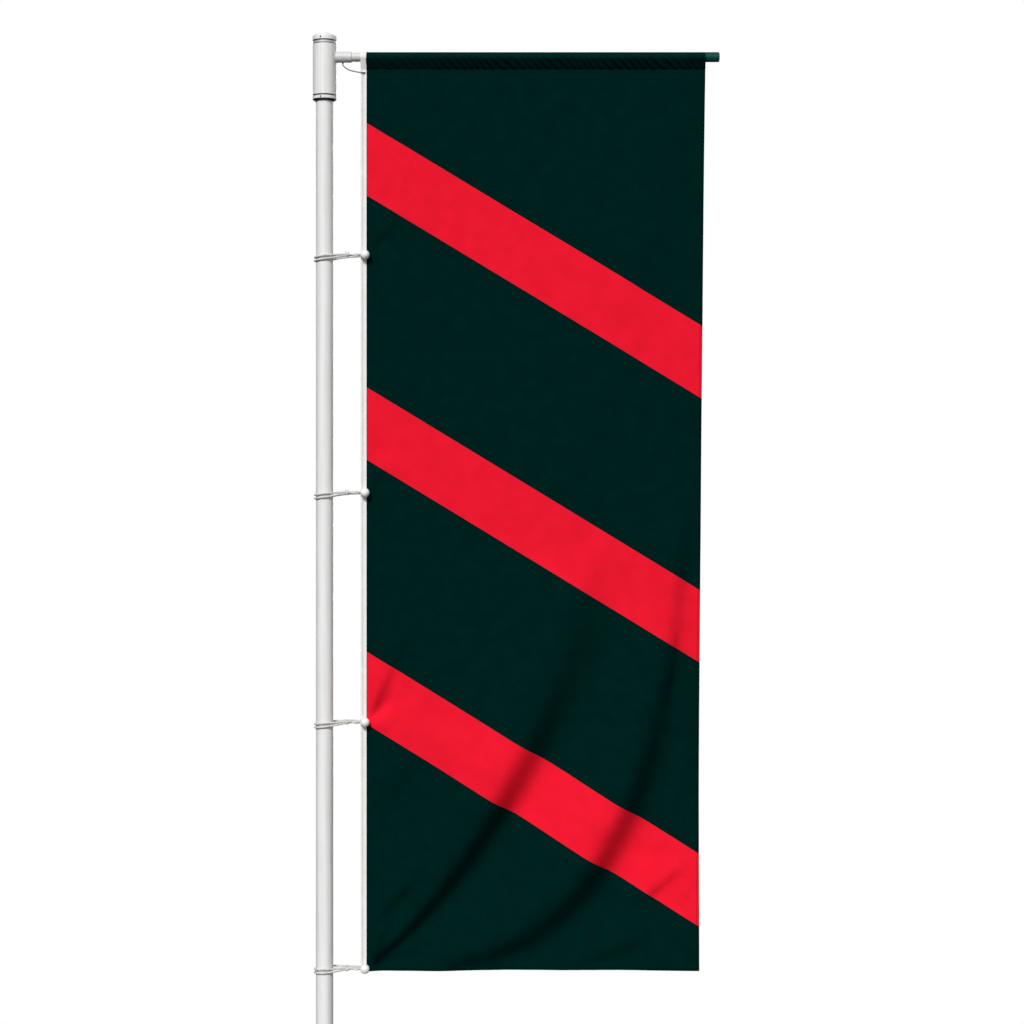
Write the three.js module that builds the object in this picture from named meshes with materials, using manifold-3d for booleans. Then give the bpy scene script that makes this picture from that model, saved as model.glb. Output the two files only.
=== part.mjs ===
// A rotating banner flag: a mast on a bolted foot, a turning head with an outrigger arm,
// and a portrait banner that hangs from the arm by a pocket, tied back to the mast by four ball ties.
// Millimetres, +Z up. +X runs along the arm.
// The origin is on the mast's axis, at the underside of the base plate.
import * as THREE from "three";
import { mergeVertices } from "three/addons/utils/BufferGeometryUtils.js";
import Module from "manifold-3d";

// ---- clearances ----
const FIT = 0.3; // between a piece and the hole or channel that holds it
const SEAT = 0.1; // under a face that rests on another
const BEARING_GAP = 0.4; // radial, between the mast and what turns round it

// ---- the banner ----
const FLAG_WIDTH = 1500; // from the hoist tape's edge to the fly hem
const FLAG_DROP = 4000; // from the top of the pocket to the bottom hem
const FLAG_FROM_AXIS = 157; // mast axis to the hoist tape's edge
const GROUND_CLEARANCE = 2900; // ground to the bottom hem
const CLOTH = 1.5;
const FLY_PULL_IN = 26; // how far folds draw the fly edge in at the bottom
const POCKET_DEPTH = 74; // top of the pocket to its seam
const POCKET_SLACK = 1; // radial ease of the pocket round the arm
const TAPE_STRIP = 13; // flat part of the hoist tape, beside its rope channel
const TAPE_THICKNESS = 3;
const TAPE_WALL = 1.5;
const ROPE_RADIUS = 3.7;
const STAY_EYELET_BELOW = 90; // under the pocket's top

// ---- the mast and its head ----
const POLE_OD = 75;
const POLE_WALL = 2.5;
const BUSH_WALL = 8.8;
const SLEEVE_WALL = 4;
const SLEEVE_LENGTH = 220;
const ARM_BELOW_SLEEVE_TOP = 54;
const COLLAR_HEIGHT = 13;
const COLLAR_PROUD = 1; // of the sleeve's surface
const COLLAR_CHAMFER = 1.5;
const LOWER_FLANGE = 6;
const UPPER_FLANGE = 3;
const BUSH_LENGTH = 60;
const WIPER_HEIGHT = 8;
const WIPER_LIP = 3;
const WIPER_INSET = 2; // from the collar's surface
const PLUG_DEPTH = 60;
const PLUG_FLANGE = 5;
const JOURNAL_RADIUS = 15;
const RETAINER_RADIUS = 24;
const THRUST_WASHER = 3;
const TOP_RING_HEIGHT = 9;
const UPSTAND_INSET = 9; // from the top ring's flange to the spigot that the cap sits on
const UPSTAND_WALL = 5;
const CAP_SEAL_HEIGHT = 5;
const CAP_SKIRT = 14;
const CAP_DOME = 24;
const CAP_WALL = 4;
const BOLT_RADIUS = 6;
const BOLT_FLATS = 18.6;
const BOLT_HEAD = 7.8;
const GRUB_RADIUS = 3; // the small screws of the cap, the collar and the arm's socket
const GRUB_TURN = -105; // degrees round the mast, for the screws of the cap and the collar

// ---- the arm ----
const ARM_OD = 40;
const ARM_WALL = 2;
const ARM_BEYOND_FLAG = 61;
const SOCKET_WALL = 4;
const SOCKET_REACH = 67; // from the sleeve's surface to the socket's mouth
const SOCKET_FLOOR = 9; // from the sleeve's surface to the floor of the socket's bore
const SOCKET_FLARE = 3; // how far the socket's root spreads
const FLARE_FILLET = 6;
const SET_SCREW_FROM_MOUTH = 20;
const TIP_WALL = 1.5;
const TIP_END = 5;
const TIP_ROUND = 6;
const STAY_RADIUS = 2.75;
const STAY_FROM_SLEEVE = 28; // from the sleeve's surface
const FERRULE_RADIUS = 4.5;
const FERRULE_DROP = 3;

// ---- the ties ----
const BALL_RADIUS = 20.5;
const STRAND_RADIUS = 4;
const STRAND_PITCH = 15; // between the two strands round the mast
const STRAND_PITCH_AT_KNOT = 5;
const TIE_RING_GAP = 0.8;
const KNOT_FROM_AXIS = 100;
const EYELET_HOLE = 3.4;
const EYELET_WALL = 0.8;
const EYELET_FLANGE = 6.2;
const EYELET_LIP = 0.8;
const EYELET_EDGE = 0.8; // between an eyelet and the tape's edge
const TIES = [
  { down: 0.221, tilt: 7 }, // share of the flag's drop, and the slope of the loop in degrees
  { down: 0.47925, tilt: 7 },
  { down: 0.7285, tilt: 6.5 },
  { down: 0.99625, tilt: 4 },
];

// ---- the foot ----
const PLATE_SIDE = 300;
const PLATE_THICKNESS = 15;
const PLATE_CORNER = 20;
const ANCHOR_SPACING = 230;
const ANCHOR_RADIUS = 8;
const ANCHOR_DEPTH = 60; // below the plate, in the foundation
const WASHER_THICKNESS = 3;
const WASHER_RADIUS = 15.2;
const NUT_HEIGHT = 13;
const NUT_FLATS = 24;
const STUD_SHOWING = 9; // thread above the nut
const FOOT_TUBE_WALL = 6;
const FOOT_TUBE_HEIGHT = 300;
const GUSSET_THICKNESS = 8;
const GUSSET_REACH = 92;
const GUSSET_HEIGHT = 160;
const FOOT_SCREW_RADIUS = 5;
const FOOT_SCREW_FLATS = 17;
const FOOT_SCREW_HEAD = 7;
const FOOT_SCREW_DROP = 55; // below the top of the foot tube

// ---- worked out from the above ----
const POLE_R = POLE_OD / 2;
const BORE_R = POLE_R + BEARING_GAP;
const BUSH_R = BORE_R + BUSH_WALL;
const SLEEVE_R = BUSH_R + FIT + SLEEVE_WALL;
const FLANGE_R = SLEEVE_R - 1;
const COLLAR_R = SLEEVE_R + COLLAR_PROUD;
const ARM_R = ARM_OD / 2;
const SOCKET_R = ARM_R + SOCKET_WALL;
const FLAG_TOP = GROUND_CLEARANCE + FLAG_DROP;
const SEAM_Z = FLAG_TOP - POCKET_DEPTH;
const ARM_Z = FLAG_TOP - CLOTH - FIT - ARM_R;
const SLEEVE_TOP = ARM_Z + ARM_BELOW_SLEEVE_TOP;
const SLEEVE_BOTTOM = SLEEVE_TOP - SLEEVE_LENGTH;
const POLE_TOP = SLEEVE_TOP - PLUG_FLANGE + 1;
const PLUG_TOP = POLE_TOP + SEAT + PLUG_FLANGE;
const THRUST_TOP = PLUG_TOP + SEAT + THRUST_WASHER;
const WEB_BOTTOM = THRUST_TOP + FIT;
const WEB_TOP = SLEEVE_TOP + SEAT + UPPER_FLANGE + SEAT + TOP_RING_HEIGHT;
const JOURNAL_TOP = WEB_TOP + FIT;
const SOCKET_MOUTH = SLEEVE_R + SOCKET_REACH;
const SOCKET_BORE_START = SLEEVE_R + SOCKET_FLOOR;
const SET_SCREW_X = SOCKET_MOUTH - SET_SCREW_FROM_MOUTH;
const STAY_X = SLEEVE_R + STAY_FROM_SLEEVE;
const ARM_DROP_TO_STAY = FLAG_TOP - STAY_EYELET_BELOW - ARM_Z;
const TAPE_TUBE_R = ROPE_RADIUS + FIT + TAPE_WALL;
const TAPE_TUBE_X = FLAG_FROM_AXIS + TAPE_TUBE_R;
const TAPE_END_X = TAPE_TUBE_X + TAPE_TUBE_R + TAPE_STRIP;
const CLOTH_X = TAPE_END_X + FIT;
const FLY_X = FLAG_FROM_AXIS + FLAG_WIDTH;
const EYELET_X = TAPE_END_X - EYELET_FLANGE - EYELET_EDGE;
const BALL_Y = -(TAPE_THICKNESS / 2 + EYELET_LIP + FIT + BALL_RADIUS);
const BALL_X = EYELET_X + 3;
const RING_R = POLE_R + TIE_RING_GAP + STRAND_RADIUS;

const ROUND = 36; // sides of the coaxial surfaces that turn on one another
const SMALL = 12; // sides of fasteners and eyelets

const wasm = await Module();
wasm.setup();

// ---- finishes ----
function finish(color, roughness, metalness) {
  return new THREE.MeshStandardMaterial({ color, roughness, metalness });
}
const coated = () => finish(0xe6e6e4, 0.42, 0.1);
const castRing = () => finish(0xd6d7d8, 0.38, 0.5);
const blackPlastic = () => finish(0x15161a, 0.55, 0);
const galvanised = () => finish(0x9a9da0, 0.5, 0.8);
const stainless = () => finish(0xb9bbbd, 0.3, 0.9);
const greenCloth = () => finish(0x03231f, 0.8, 0);
const whiteTape = () => finish(0xeeeeea, 0.85, 0);
const whiteCord = () => finish(0xe4e4df, 0.8, 0);
const whiteBall = () => finish(0xf4f4f2, 0.35, 0);
const greenCap = () => finish(0x05322f, 0.45, 0);

// ---- building blocks ----
function addPiece(group, name, geometry, material) {
  const mesh = new THREE.Mesh(geometry, material);
  mesh.name = name;
  group.add(mesh);
  return mesh;
}

function flat(corners) {
  return corners.map(([x, y]) => new THREE.Vector2(x, y));
}

// A solid of revolution about +Z from [radius, height] corners, anticlockwise in that plane.
function turned(corners, sides = ROUND) {
  const closed = flat(corners);
  if (corners[0][0] > 0 || corners[corners.length - 1][0] > 0) closed.push(closed[0].clone());
  return new THREE.LatheGeometry(closed, sides).rotateX(Math.PI / 2);
}

// The same solid laid along +X: heights become distances along X.
function turnedAlongX(corners, sides = ROUND) {
  return turned(corners, sides).rotateY(Math.PI / 2);
}

function ring(inner, outer, bottom, top, sides = ROUND) {
  return turned([[inner, bottom], [outer, bottom], [outer, top], [inner, top]], sides);
}

function rod(radius, bottom, top, sides = SMALL) {
  return turned([[0, bottom], [radius, bottom], [radius, top], [0, top]], sides);
}

function rodAlongX(radius, from, to, sides = SMALL) {
  return rod(radius, from, to, sides).rotateY(Math.PI / 2);
}

// Corners of an arc in the radius-height plane, from one angle to another, in degrees.
function arc(centreR, centreZ, radiusR, radiusZ, from, to, steps) {
  return Array.from({ length: steps + 1 }, (_, i) => {
    const angle = THREE.MathUtils.degToRad(from + ((to - from) * i) / steps);
    return [centreR + radiusR * Math.cos(angle), centreZ + radiusZ * Math.sin(angle)];
  });
}

function circlePath(x, y, radius, sides) {
  const corners = arc(x, y, radius, radius, 0, 360, sides).slice(0, sides);
  return new THREE.Path().setFromPoints(flat(corners));
}

function hexagon(acrossFlats) {
  return new THREE.Shape(circlePath(0, 0, acrossFlats / Math.sqrt(3), 6).getPoints());
}

function extruded(shape, depth) {
  return new THREE.ExtrudeGeometry(shape, { depth, bevelEnabled: false });
}

// A tube of round section along a curve.
function alongCurve(curve, radius, sides, steps) {
  const section = new THREE.Shape(circlePath(0, 0, radius, sides).getPoints());
  return new THREE.ExtrudeGeometry(section, { extrudePath: curve, steps, bevelEnabled: false });
}

function toSolid(geometry) {
  const bare = geometry.index ? geometry.toNonIndexed() : geometry.clone();
  bare.deleteAttribute("normal");
  bare.deleteAttribute("uv");
  const merged = mergeVertices(bare, 1e-3);
  const vertProperties = merged.attributes.position.array;
  const triVerts = new Uint32Array(merged.index.array);
  return new wasm.Manifold(new wasm.Mesh({ numProp: 3, vertProperties, triVerts }));
}

function toGeometry(solid) {
  const mesh = solid.getMesh();
  const geometry = new THREE.BufferGeometry();
  geometry.setAttribute("position", new THREE.BufferAttribute(mesh.vertProperties, 3));
  geometry.setIndex(new THREE.BufferAttribute(mesh.triVerts, 1));
  geometry.computeVertexNormals();
  return geometry;
}

function cut(geometry, ...cutters) {
  return toGeometry(cutters.reduce((left, cutter) => left.subtract(toSolid(cutter)), toSolid(geometry)));
}

function join(...geometries) {
  return toGeometry(geometries.map(toSolid).reduce((whole, next) => whole.add(next)));
}

// ---- the foot: a bolted plate, a tube that holds the mast, and four gussets ----
function makeFoot(group) {
  const half = PLATE_SIDE / 2;
  const spot = ANCHOR_SPACING / 2;
  const corners = [[1, 1], [-1, 1], [-1, -1], [1, -1]];
  const outline = new THREE.Shape();
  corners.forEach(([sx, sy], i) => {
    const start = i * (Math.PI / 2);
    const inset = half - PLATE_CORNER;
    outline.absarc(sx * inset, sy * inset, PLATE_CORNER, start, start + Math.PI / 2, false);
  });
  corners.forEach(([sx, sy]) => {
    outline.holes.push(circlePath(sx * spot, sy * spot, ANCHOR_RADIUS + 1, SMALL));
  });
  const plate = new THREE.ExtrudeGeometry(outline, {
    depth: PLATE_THICKNESS,
    bevelEnabled: false,
    curveSegments: 5,
  });
  addPiece(group, "base_plate", plate, galvanised());

  const tubeBottom = PLATE_THICKNESS + SEAT;
  const tubeInner = POLE_R + FIT;
  const tubeOuter = tubeInner + FOOT_TUBE_WALL;
  const tubeTop = tubeBottom + FOOT_TUBE_HEIGHT;
  const screwZ = tubeTop - FOOT_SCREW_DROP;
  const screwTurns = [Math.PI / 4, (Math.PI * 5) / 4];
  const drill = (turn) =>
    rodAlongX(FOOT_SCREW_RADIUS + FIT, 0, POLE_OD).rotateZ(turn).translate(0, 0, screwZ);
  const tube = cut(ring(tubeInner, tubeOuter, tubeBottom, tubeTop), ...screwTurns.map(drill));
  addPiece(group, "base_socket", tube, galvanised());

  const headStart = tubeOuter + FIT;
  screwTurns.forEach((turn, i) => {
    const shank = rodAlongX(FOOT_SCREW_RADIUS, POLE_R + FIT, headStart + FOOT_SCREW_HEAD / 2);
    const head = extruded(hexagon(FOOT_SCREW_FLATS), FOOT_SCREW_HEAD)
      .rotateY(Math.PI / 2)
      .translate(headStart, 0, 0);
    const screw = addPiece(group, `socket_screw_${i + 1}`, join(shank, head), stainless());
    screw.rotation.z = turn;
    screw.position.z = screwZ;
  });

  const gussetStart = tubeOuter + FIT;
  const gussetOutline = new THREE.Shape(
    flat([
      [gussetStart, 0],
      [gussetStart + GUSSET_REACH, 0],
      [gussetStart + GUSSET_REACH, GUSSET_THICKNESS],
      [gussetStart + GUSSET_THICKNESS, GUSSET_HEIGHT],
      [gussetStart, GUSSET_HEIGHT],
    ]),
  );
  for (let i = 0; i < 4; i++) {
    const geometry = extruded(gussetOutline, GUSSET_THICKNESS)
      .translate(0, 0, -GUSSET_THICKNESS / 2)
      .rotateX(Math.PI / 2);
    const gusset = addPiece(group, `base_gusset_${i + 1}`, geometry, galvanised());
    gusset.rotation.z = (i * Math.PI) / 2;
    gusset.position.z = PLATE_THICKNESS + SEAT;
  }

  const washerBottom = PLATE_THICKNESS + SEAT;
  const nutBottom = washerBottom + WASHER_THICKNESS + SEAT;
  const studTop = nutBottom + NUT_HEIGHT + STUD_SHOWING;
  const nutShape = hexagon(NUT_FLATS);
  nutShape.holes.push(circlePath(0, 0, ANCHOR_RADIUS + FIT, SMALL));
  corners.forEach(([sx, sy], i) => {
    const place = (name, geometry, material, z) => {
      const piece = addPiece(group, `${name}_${i + 1}`, geometry, material);
      piece.position.set(sx * spot, sy * spot, z);
    };
    const washer = ring(ANCHOR_RADIUS + FIT, WASHER_RADIUS, 0, WASHER_THICKNESS, SMALL);
    place("anchor_stud", rod(ANCHOR_RADIUS, -ANCHOR_DEPTH, studTop), stainless(), 0);
    place("anchor_washer", washer, stainless(), washerBottom);
    place("anchor_nut", extruded(nutShape, NUT_HEIGHT), stainless(), nutBottom);
  });
}

// ---- the mast: one tube, closed by a plug whose journal carries the turning head ----
function makeMast(group) {
  const tube = ring(POLE_R - POLE_WALL, POLE_R, PLATE_THICKNESS + SEAT, POLE_TOP);
  addPiece(group, "pole_tube", tube, coated());

  const plugR = POLE_R - POLE_WALL - FIT;
  const flangeBottom = POLE_TOP + SEAT;
  const holeR = BOLT_RADIUS + FIT;
  const holeBottom = flangeBottom - PLUG_DEPTH / 2;
  const plug = turned([
    [0, POLE_TOP - PLUG_DEPTH],
    [plugR, POLE_TOP - PLUG_DEPTH],
    [plugR, flangeBottom],
    [POLE_R, flangeBottom],
    [POLE_R, PLUG_TOP],
    [JOURNAL_RADIUS, PLUG_TOP],
    [JOURNAL_RADIUS, JOURNAL_TOP],
    [holeR, JOURNAL_TOP],
    [holeR, holeBottom],
    [0, holeBottom],
  ]);
  addPiece(group, "pole_top_plug", plug, castRing());

  const thrust = ring(JOURNAL_RADIUS + FIT, POLE_R - 3, PLUG_TOP + SEAT, THRUST_TOP);
  addPiece(group, "thrust_washer", thrust, blackPlastic());

  const washerBottom = JOURNAL_TOP + SEAT;
  const washerTop = washerBottom + WASHER_THICKNESS;
  const retainer = ring(holeR, RETAINER_RADIUS, washerBottom, washerTop);
  addPiece(group, "retaining_washer", retainer, stainless());

  const shank = rod(BOLT_RADIUS, holeBottom + PLUG_DEPTH / 6, washerTop + BOLT_RADIUS);
  const head = extruded(hexagon(BOLT_FLATS), BOLT_HEAD).translate(0, 0, washerTop + SEAT);
  addPiece(group, "retaining_bolt", join(shank, head), stainless());
}

// ---- the turning head: sleeve, flanged bushes, end rings, cap and arm socket ----
function makeHead(group) {
  const sleeve = ring(SLEEVE_R - SLEEVE_WALL, SLEEVE_R, SLEEVE_BOTTOM, SLEEVE_TOP);
  addPiece(group, "rotor_sleeve", sleeve, coated());

  const lowerTop = SLEEVE_BOTTOM - SEAT;
  const lowerBottom = lowerTop - LOWER_FLANGE;
  const lowerBush = turned([
    [BORE_R, lowerBottom],
    [FLANGE_R, lowerBottom],
    [FLANGE_R, lowerTop],
    [BUSH_R, lowerTop],
    [BUSH_R, lowerTop + BUSH_LENGTH],
    [BORE_R, lowerTop + BUSH_LENGTH],
  ]);
  addPiece(group, "lower_bearing_bush", lowerBush, blackPlastic());

  const upperBottom = SLEEVE_TOP + SEAT;
  const upperTop = upperBottom + UPPER_FLANGE;
  const upperBush = turned([
    [BORE_R, upperBottom - BUSH_LENGTH],
    [BUSH_R, upperBottom - BUSH_LENGTH],
    [BUSH_R, upperBottom],
    [FLANGE_R, upperBottom],
    [FLANGE_R, upperTop],
    [BORE_R, upperTop],
  ]);
  addPiece(group, "upper_bearing_bush", upperBush, blackPlastic());

  // A small screw set flush in a ring at the same turn round the mast, and the hole it needs.
  const grubTurn = THREE.MathUtils.degToRad(GRUB_TURN);
  const grubEnd = COLLAR_R - 0.5;
  const grubHole = (start, z) =>
    rodAlongX(GRUB_RADIUS + FIT, start - FIT, COLLAR_R + 1).rotateZ(grubTurn).translate(0, 0, z);
  const addGrub = (name, start, z) => {
    const screw = addPiece(group, name, rodAlongX(GRUB_RADIUS, start, grubEnd), stainless());
    screw.rotation.z = grubTurn;
    screw.position.z = z;
  };

  const collarTop = lowerBottom - SEAT;
  const collarBottom = collarTop - COLLAR_HEIGHT;
  const edge = COLLAR_CHAMFER;
  const collar = turned([
    [BORE_R + FIT, collarBottom],
    ...arc(COLLAR_R - edge, collarBottom + edge, edge, edge, -90, 0, 1),
    ...arc(COLLAR_R - edge, collarTop - edge, edge, edge, 0, 90, 1),
    [BORE_R + FIT, collarTop],
  ]);
  const collarGrub = [BORE_R + FIT + 2, (collarBottom + collarTop) / 2];
  addPiece(group, "lower_collar", cut(collar, grubHole(...collarGrub)), coated());
  addGrub("collar_screw", ...collarGrub);

  const wiperTop = collarBottom - SEAT;
  const wiper = turned([
    [BORE_R, wiperTop - WIPER_HEIGHT],
    [BORE_R + WIPER_LIP, wiperTop - WIPER_HEIGHT],
    [COLLAR_R - WIPER_INSET, wiperTop - WIPER_INSET],
    [COLLAR_R - WIPER_INSET, wiperTop],
    [BORE_R, wiperTop],
  ]);
  addPiece(group, "lower_wiper", wiper, blackPlastic());

  const ringBottom = upperTop + SEAT;
  const upstandR = FLANGE_R - UPSTAND_INSET;
  const sealBottom = WEB_TOP + SEAT;
  const capBottom = sealBottom + CAP_SEAL_HEIGHT + SEAT;
  const upstandTop = capBottom + CAP_SKIRT * 0.9;
  const topRing = turned([
    [JOURNAL_RADIUS + BEARING_GAP, WEB_BOTTOM],
    [POLE_R + 1, WEB_BOTTOM],
    [POLE_R + 1, ringBottom],
    [FLANGE_R - 0.5, ringBottom],
    [FLANGE_R - 0.5, WEB_TOP],
    [upstandR, WEB_TOP],
    [upstandR, upstandTop],
    [upstandR - UPSTAND_WALL, upstandTop],
    [upstandR - UPSTAND_WALL, WEB_TOP],
    [JOURNAL_RADIUS + BEARING_GAP, WEB_TOP],
  ]);
  const capGrub = [upstandR - UPSTAND_WALL + 1, capBottom + CAP_SKIRT * 0.6];
  const capHole = grubHole(upstandR - UPSTAND_WALL - 1, capGrub[1]);
  addPiece(group, "top_ring", cut(topRing, capHole), castRing());

  const seal = ring(upstandR + FIT, FLANGE_R - 1, sealBottom, capBottom - SEAT);
  addPiece(group, "cap_seal", seal, blackPlastic());

  const domeBase = capBottom + CAP_SKIRT;
  const cap = turned([
    [upstandR + FIT, capBottom],
    ...arc(COLLAR_R - 1, capBottom + 1, 1, 1, -90, 0, 1),
    ...arc(0, domeBase, COLLAR_R, CAP_DOME, 0, 90, 7).slice(0, -1),
    [0, domeBase + CAP_DOME],
    [0, domeBase + CAP_DOME - CAP_WALL],
    ...arc(0, domeBase, upstandR + FIT, CAP_DOME - CAP_WALL, 90, 0, 4).slice(1),
  ]);
  addPiece(group, "head_cap", cut(cap, capHole), coated());
  addGrub("cap_screw", ...capGrub);
}

// ---- the arm's socket on the sleeve, its set screw, and the ferrule that the stay cord leaves ----
function makeSocket(group) {
  const boreR = ARM_R + FIT;
  const flareR = SOCKET_R + SOCKET_FLARE;
  const fillet = FLARE_FILLET;
  const wide = 2 * SOCKET_R;
  // The blank starts inside the sleeve's surface, and the saddle cut shapes its root to the sleeve.
  const root = Math.sqrt(SLEEVE_R ** 2 - flareR ** 2) - fillet;
  const blank = turnedAlongX([
    [0, root],
    [flareR, root],
    [flareR, SLEEVE_R - SOCKET_FLARE],
    ...arc(SOCKET_R + fillet, SLEEVE_R + 4, fillet, fillet, 230, 180, 3),
    [SOCKET_R, SOCKET_MOUTH],
    [boreR, SOCKET_MOUTH],
    [boreR, SOCKET_BORE_START],
    [0, SOCKET_BORE_START],
  ]);
  const saddle = rod(SLEEVE_R + SEAT, -wide, wide, ROUND);
  const screwHole = rod(GRUB_RADIUS + FIT, 0, wide)
    .rotateX(-Math.PI / 2)
    .translate(SET_SCREW_X, 0, 0);
  const ferruleHole = rod(FERRULE_RADIUS - 1.5, -wide, -ARM_R).translate(STAY_X, 0, 0);
  const socket = addPiece(group, "arm_socket", cut(blank, saddle, screwHole, ferruleHole), coated());
  socket.position.z = ARM_Z;

  const screw = rod(GRUB_RADIUS, ARM_R + FIT, SOCKET_R - 0.4).rotateX(-Math.PI / 2);
  addPiece(group, "arm_set_screw", screw, stainless()).position.set(SET_SCREW_X, 0, ARM_Z);

  const around = rodAlongX(SOCKET_R + SEAT, 0, SOCKET_MOUTH, ROUND).translate(-STAY_X, 0, 0);
  const ferrule = cut(rod(FERRULE_RADIUS, -SOCKET_R - FERRULE_DROP, -SOCKET_R + 2), around);
  addPiece(group, "stay_ferrule", ferrule, blackPlastic()).position.set(STAY_X, 0, ARM_Z);
}

// ---- the arm: a tube that slides in the socket, with a cap on its far end ----
function makeArm(group) {
  const start = SOCKET_BORE_START + 1;
  const tipEnd = FLY_X + ARM_BEYOND_FLAG;
  const tubeEnd = tipEnd - TIP_END;
  const inner = ARM_R - ARM_WALL;
  const tube = turnedAlongX([[inner, start], [ARM_R, start], [ARM_R, tubeEnd], [inner, tubeEnd]]);
  addPiece(group, "arm_tube", tube, coated()).position.z = ARM_Z;

  const tipR = ARM_R + TIP_WALL;
  const tipStart = FLY_X + 0.5;
  const tip = turnedAlongX([
    [ARM_R + FIT, tipStart],
    [tipR, tipStart],
    ...arc(tipR - TIP_ROUND, tipEnd - TIP_ROUND, TIP_ROUND, TIP_ROUND, 0, 90, 4),
    [0, tipEnd],
    [0, tubeEnd + FIT],
    [ARM_R + FIT, tubeEnd + FIT],
  ]);
  addPiece(group, "arm_tip_cap", tip, greenCap()).position.z = ARM_Z;
}

// ---- the banner: panel, pocket over the arm, hoist tape with its rope ----
// The pocket's section in Y and Z: round over the arm, then straight down to the seam.
function pocketSection() {
  const inner = ARM_R + POCKET_SLACK;
  const outer = inner + CLOTH;
  const centreZ = FLAG_TOP - outer;
  const foot = [[-CLOTH, SEAM_Z], [CLOTH, SEAM_Z]];
  const section = new THREE.Shape(flat([...foot, ...arc(0, centreZ, outer, outer, -18, 198, 18)]));
  const channel = [[0, SEAM_Z + 5], ...arc(0, centreZ, inner, inner, -18, 198, 18)];
  section.holes.push(new THREE.Path(flat(channel)));
  return section;
}

function alongArm(section, from, to) {
  const lay = new THREE.Matrix4().makeBasis(
    new THREE.Vector3(0, 1, 0),
    new THREE.Vector3(0, 0, 1),
    new THREE.Vector3(1, 0, 0),
  );
  return extruded(section, to - from).applyMatrix4(lay).translate(from, 0, 0);
}

function tieHeight(tie) {
  return FLAG_TOP - tie.down * FLAG_DROP;
}

function makeBanner(group) {
  const flyBottom = FLY_X - FLY_PULL_IN;
  const flyEdge = new THREE.QuadraticBezierCurve(
    new THREE.Vector2(FLY_X, SEAM_Z - SEAT),
    new THREE.Vector2(flyBottom, SEAM_Z - FLAG_DROP / 2),
    new THREE.Vector2(flyBottom, GROUND_CLEARANCE),
  );
  const hoistEdge = flat([[CLOTH_X, GROUND_CLEARANCE], [CLOTH_X, SEAM_Z - SEAT]]);
  const panelOutline = new THREE.Shape([...hoistEdge, ...flyEdge.getPoints(12)]);
  const panel = extruded(panelOutline, CLOTH).rotateX(Math.PI / 2).translate(0, CLOTH / 2, 0);
  addPiece(group, "flag_panel", panel, greenCloth());
  addPiece(group, "flag_pocket", alongArm(pocketSection(), CLOTH_X, FLY_X), greenCloth());

  // The tape's section in X and Y: a channel for the rope, then a flat strip along the cloth.
  const half = TAPE_THICKNESS / 2;
  const meet = THREE.MathUtils.radToDeg(Math.asin(half / TAPE_TUBE_R));
  const outline = arc(TAPE_TUBE_X, 0, TAPE_TUBE_R, TAPE_TUBE_R, meet, 360 - meet, 14);
  const tapeShape = new THREE.Shape(flat([...outline, [TAPE_END_X, -half], [TAPE_END_X, half]]));
  tapeShape.holes.push(circlePath(TAPE_TUBE_X, 0, ROPE_RADIUS + FIT, SMALL));
  const strip = extruded(tapeShape, SEAM_Z + 1 - GROUND_CLEARANCE).translate(0, 0, GROUND_CLEARANCE);
  const barrel = EYELET_HOLE + EYELET_WALL;
  const eyeHole = (z) =>
    rod(barrel + FIT, -TAPE_STRIP, TAPE_STRIP).rotateX(Math.PI / 2).translate(EYELET_X, 0, z);
  const heights = [...TIES.map(tieHeight), FLAG_TOP - STAY_EYELET_BELOW];
  const overArm = alongArm(pocketSection(), FLAG_FROM_AXIS, TAPE_END_X);
  addPiece(group, "hoist_tape", cut(join(strip, overArm), ...heights.map(eyeHole)), whiteTape());

  const rope = rod(ROPE_RADIUS, GROUND_CLEARANCE + 3, SEAM_Z - 3).translate(TAPE_TUBE_X, 0, 0);
  addPiece(group, "hoist_rope", rope, whiteCord());

  const back = TAPE_THICKNESS / 2 + SEAT;
  const eyelet = turned(
    [
      [EYELET_HOLE, -back - EYELET_LIP],
      [EYELET_FLANGE, -back - EYELET_LIP],
      [EYELET_FLANGE, -back],
      [barrel, -back],
      [barrel, back],
      [EYELET_FLANGE, back],
      [EYELET_FLANGE, back + EYELET_LIP],
      [EYELET_HOLE, back + EYELET_LIP],
    ],
    SMALL,
  ).rotateX(Math.PI / 2);
  heights.forEach((z, i) => {
    const piece = addPiece(group, `hoist_eyelet_${i + 1}`, eyelet.clone(), stainless());
    piece.position.set(EYELET_X, 0, z);
  });
}

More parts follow.
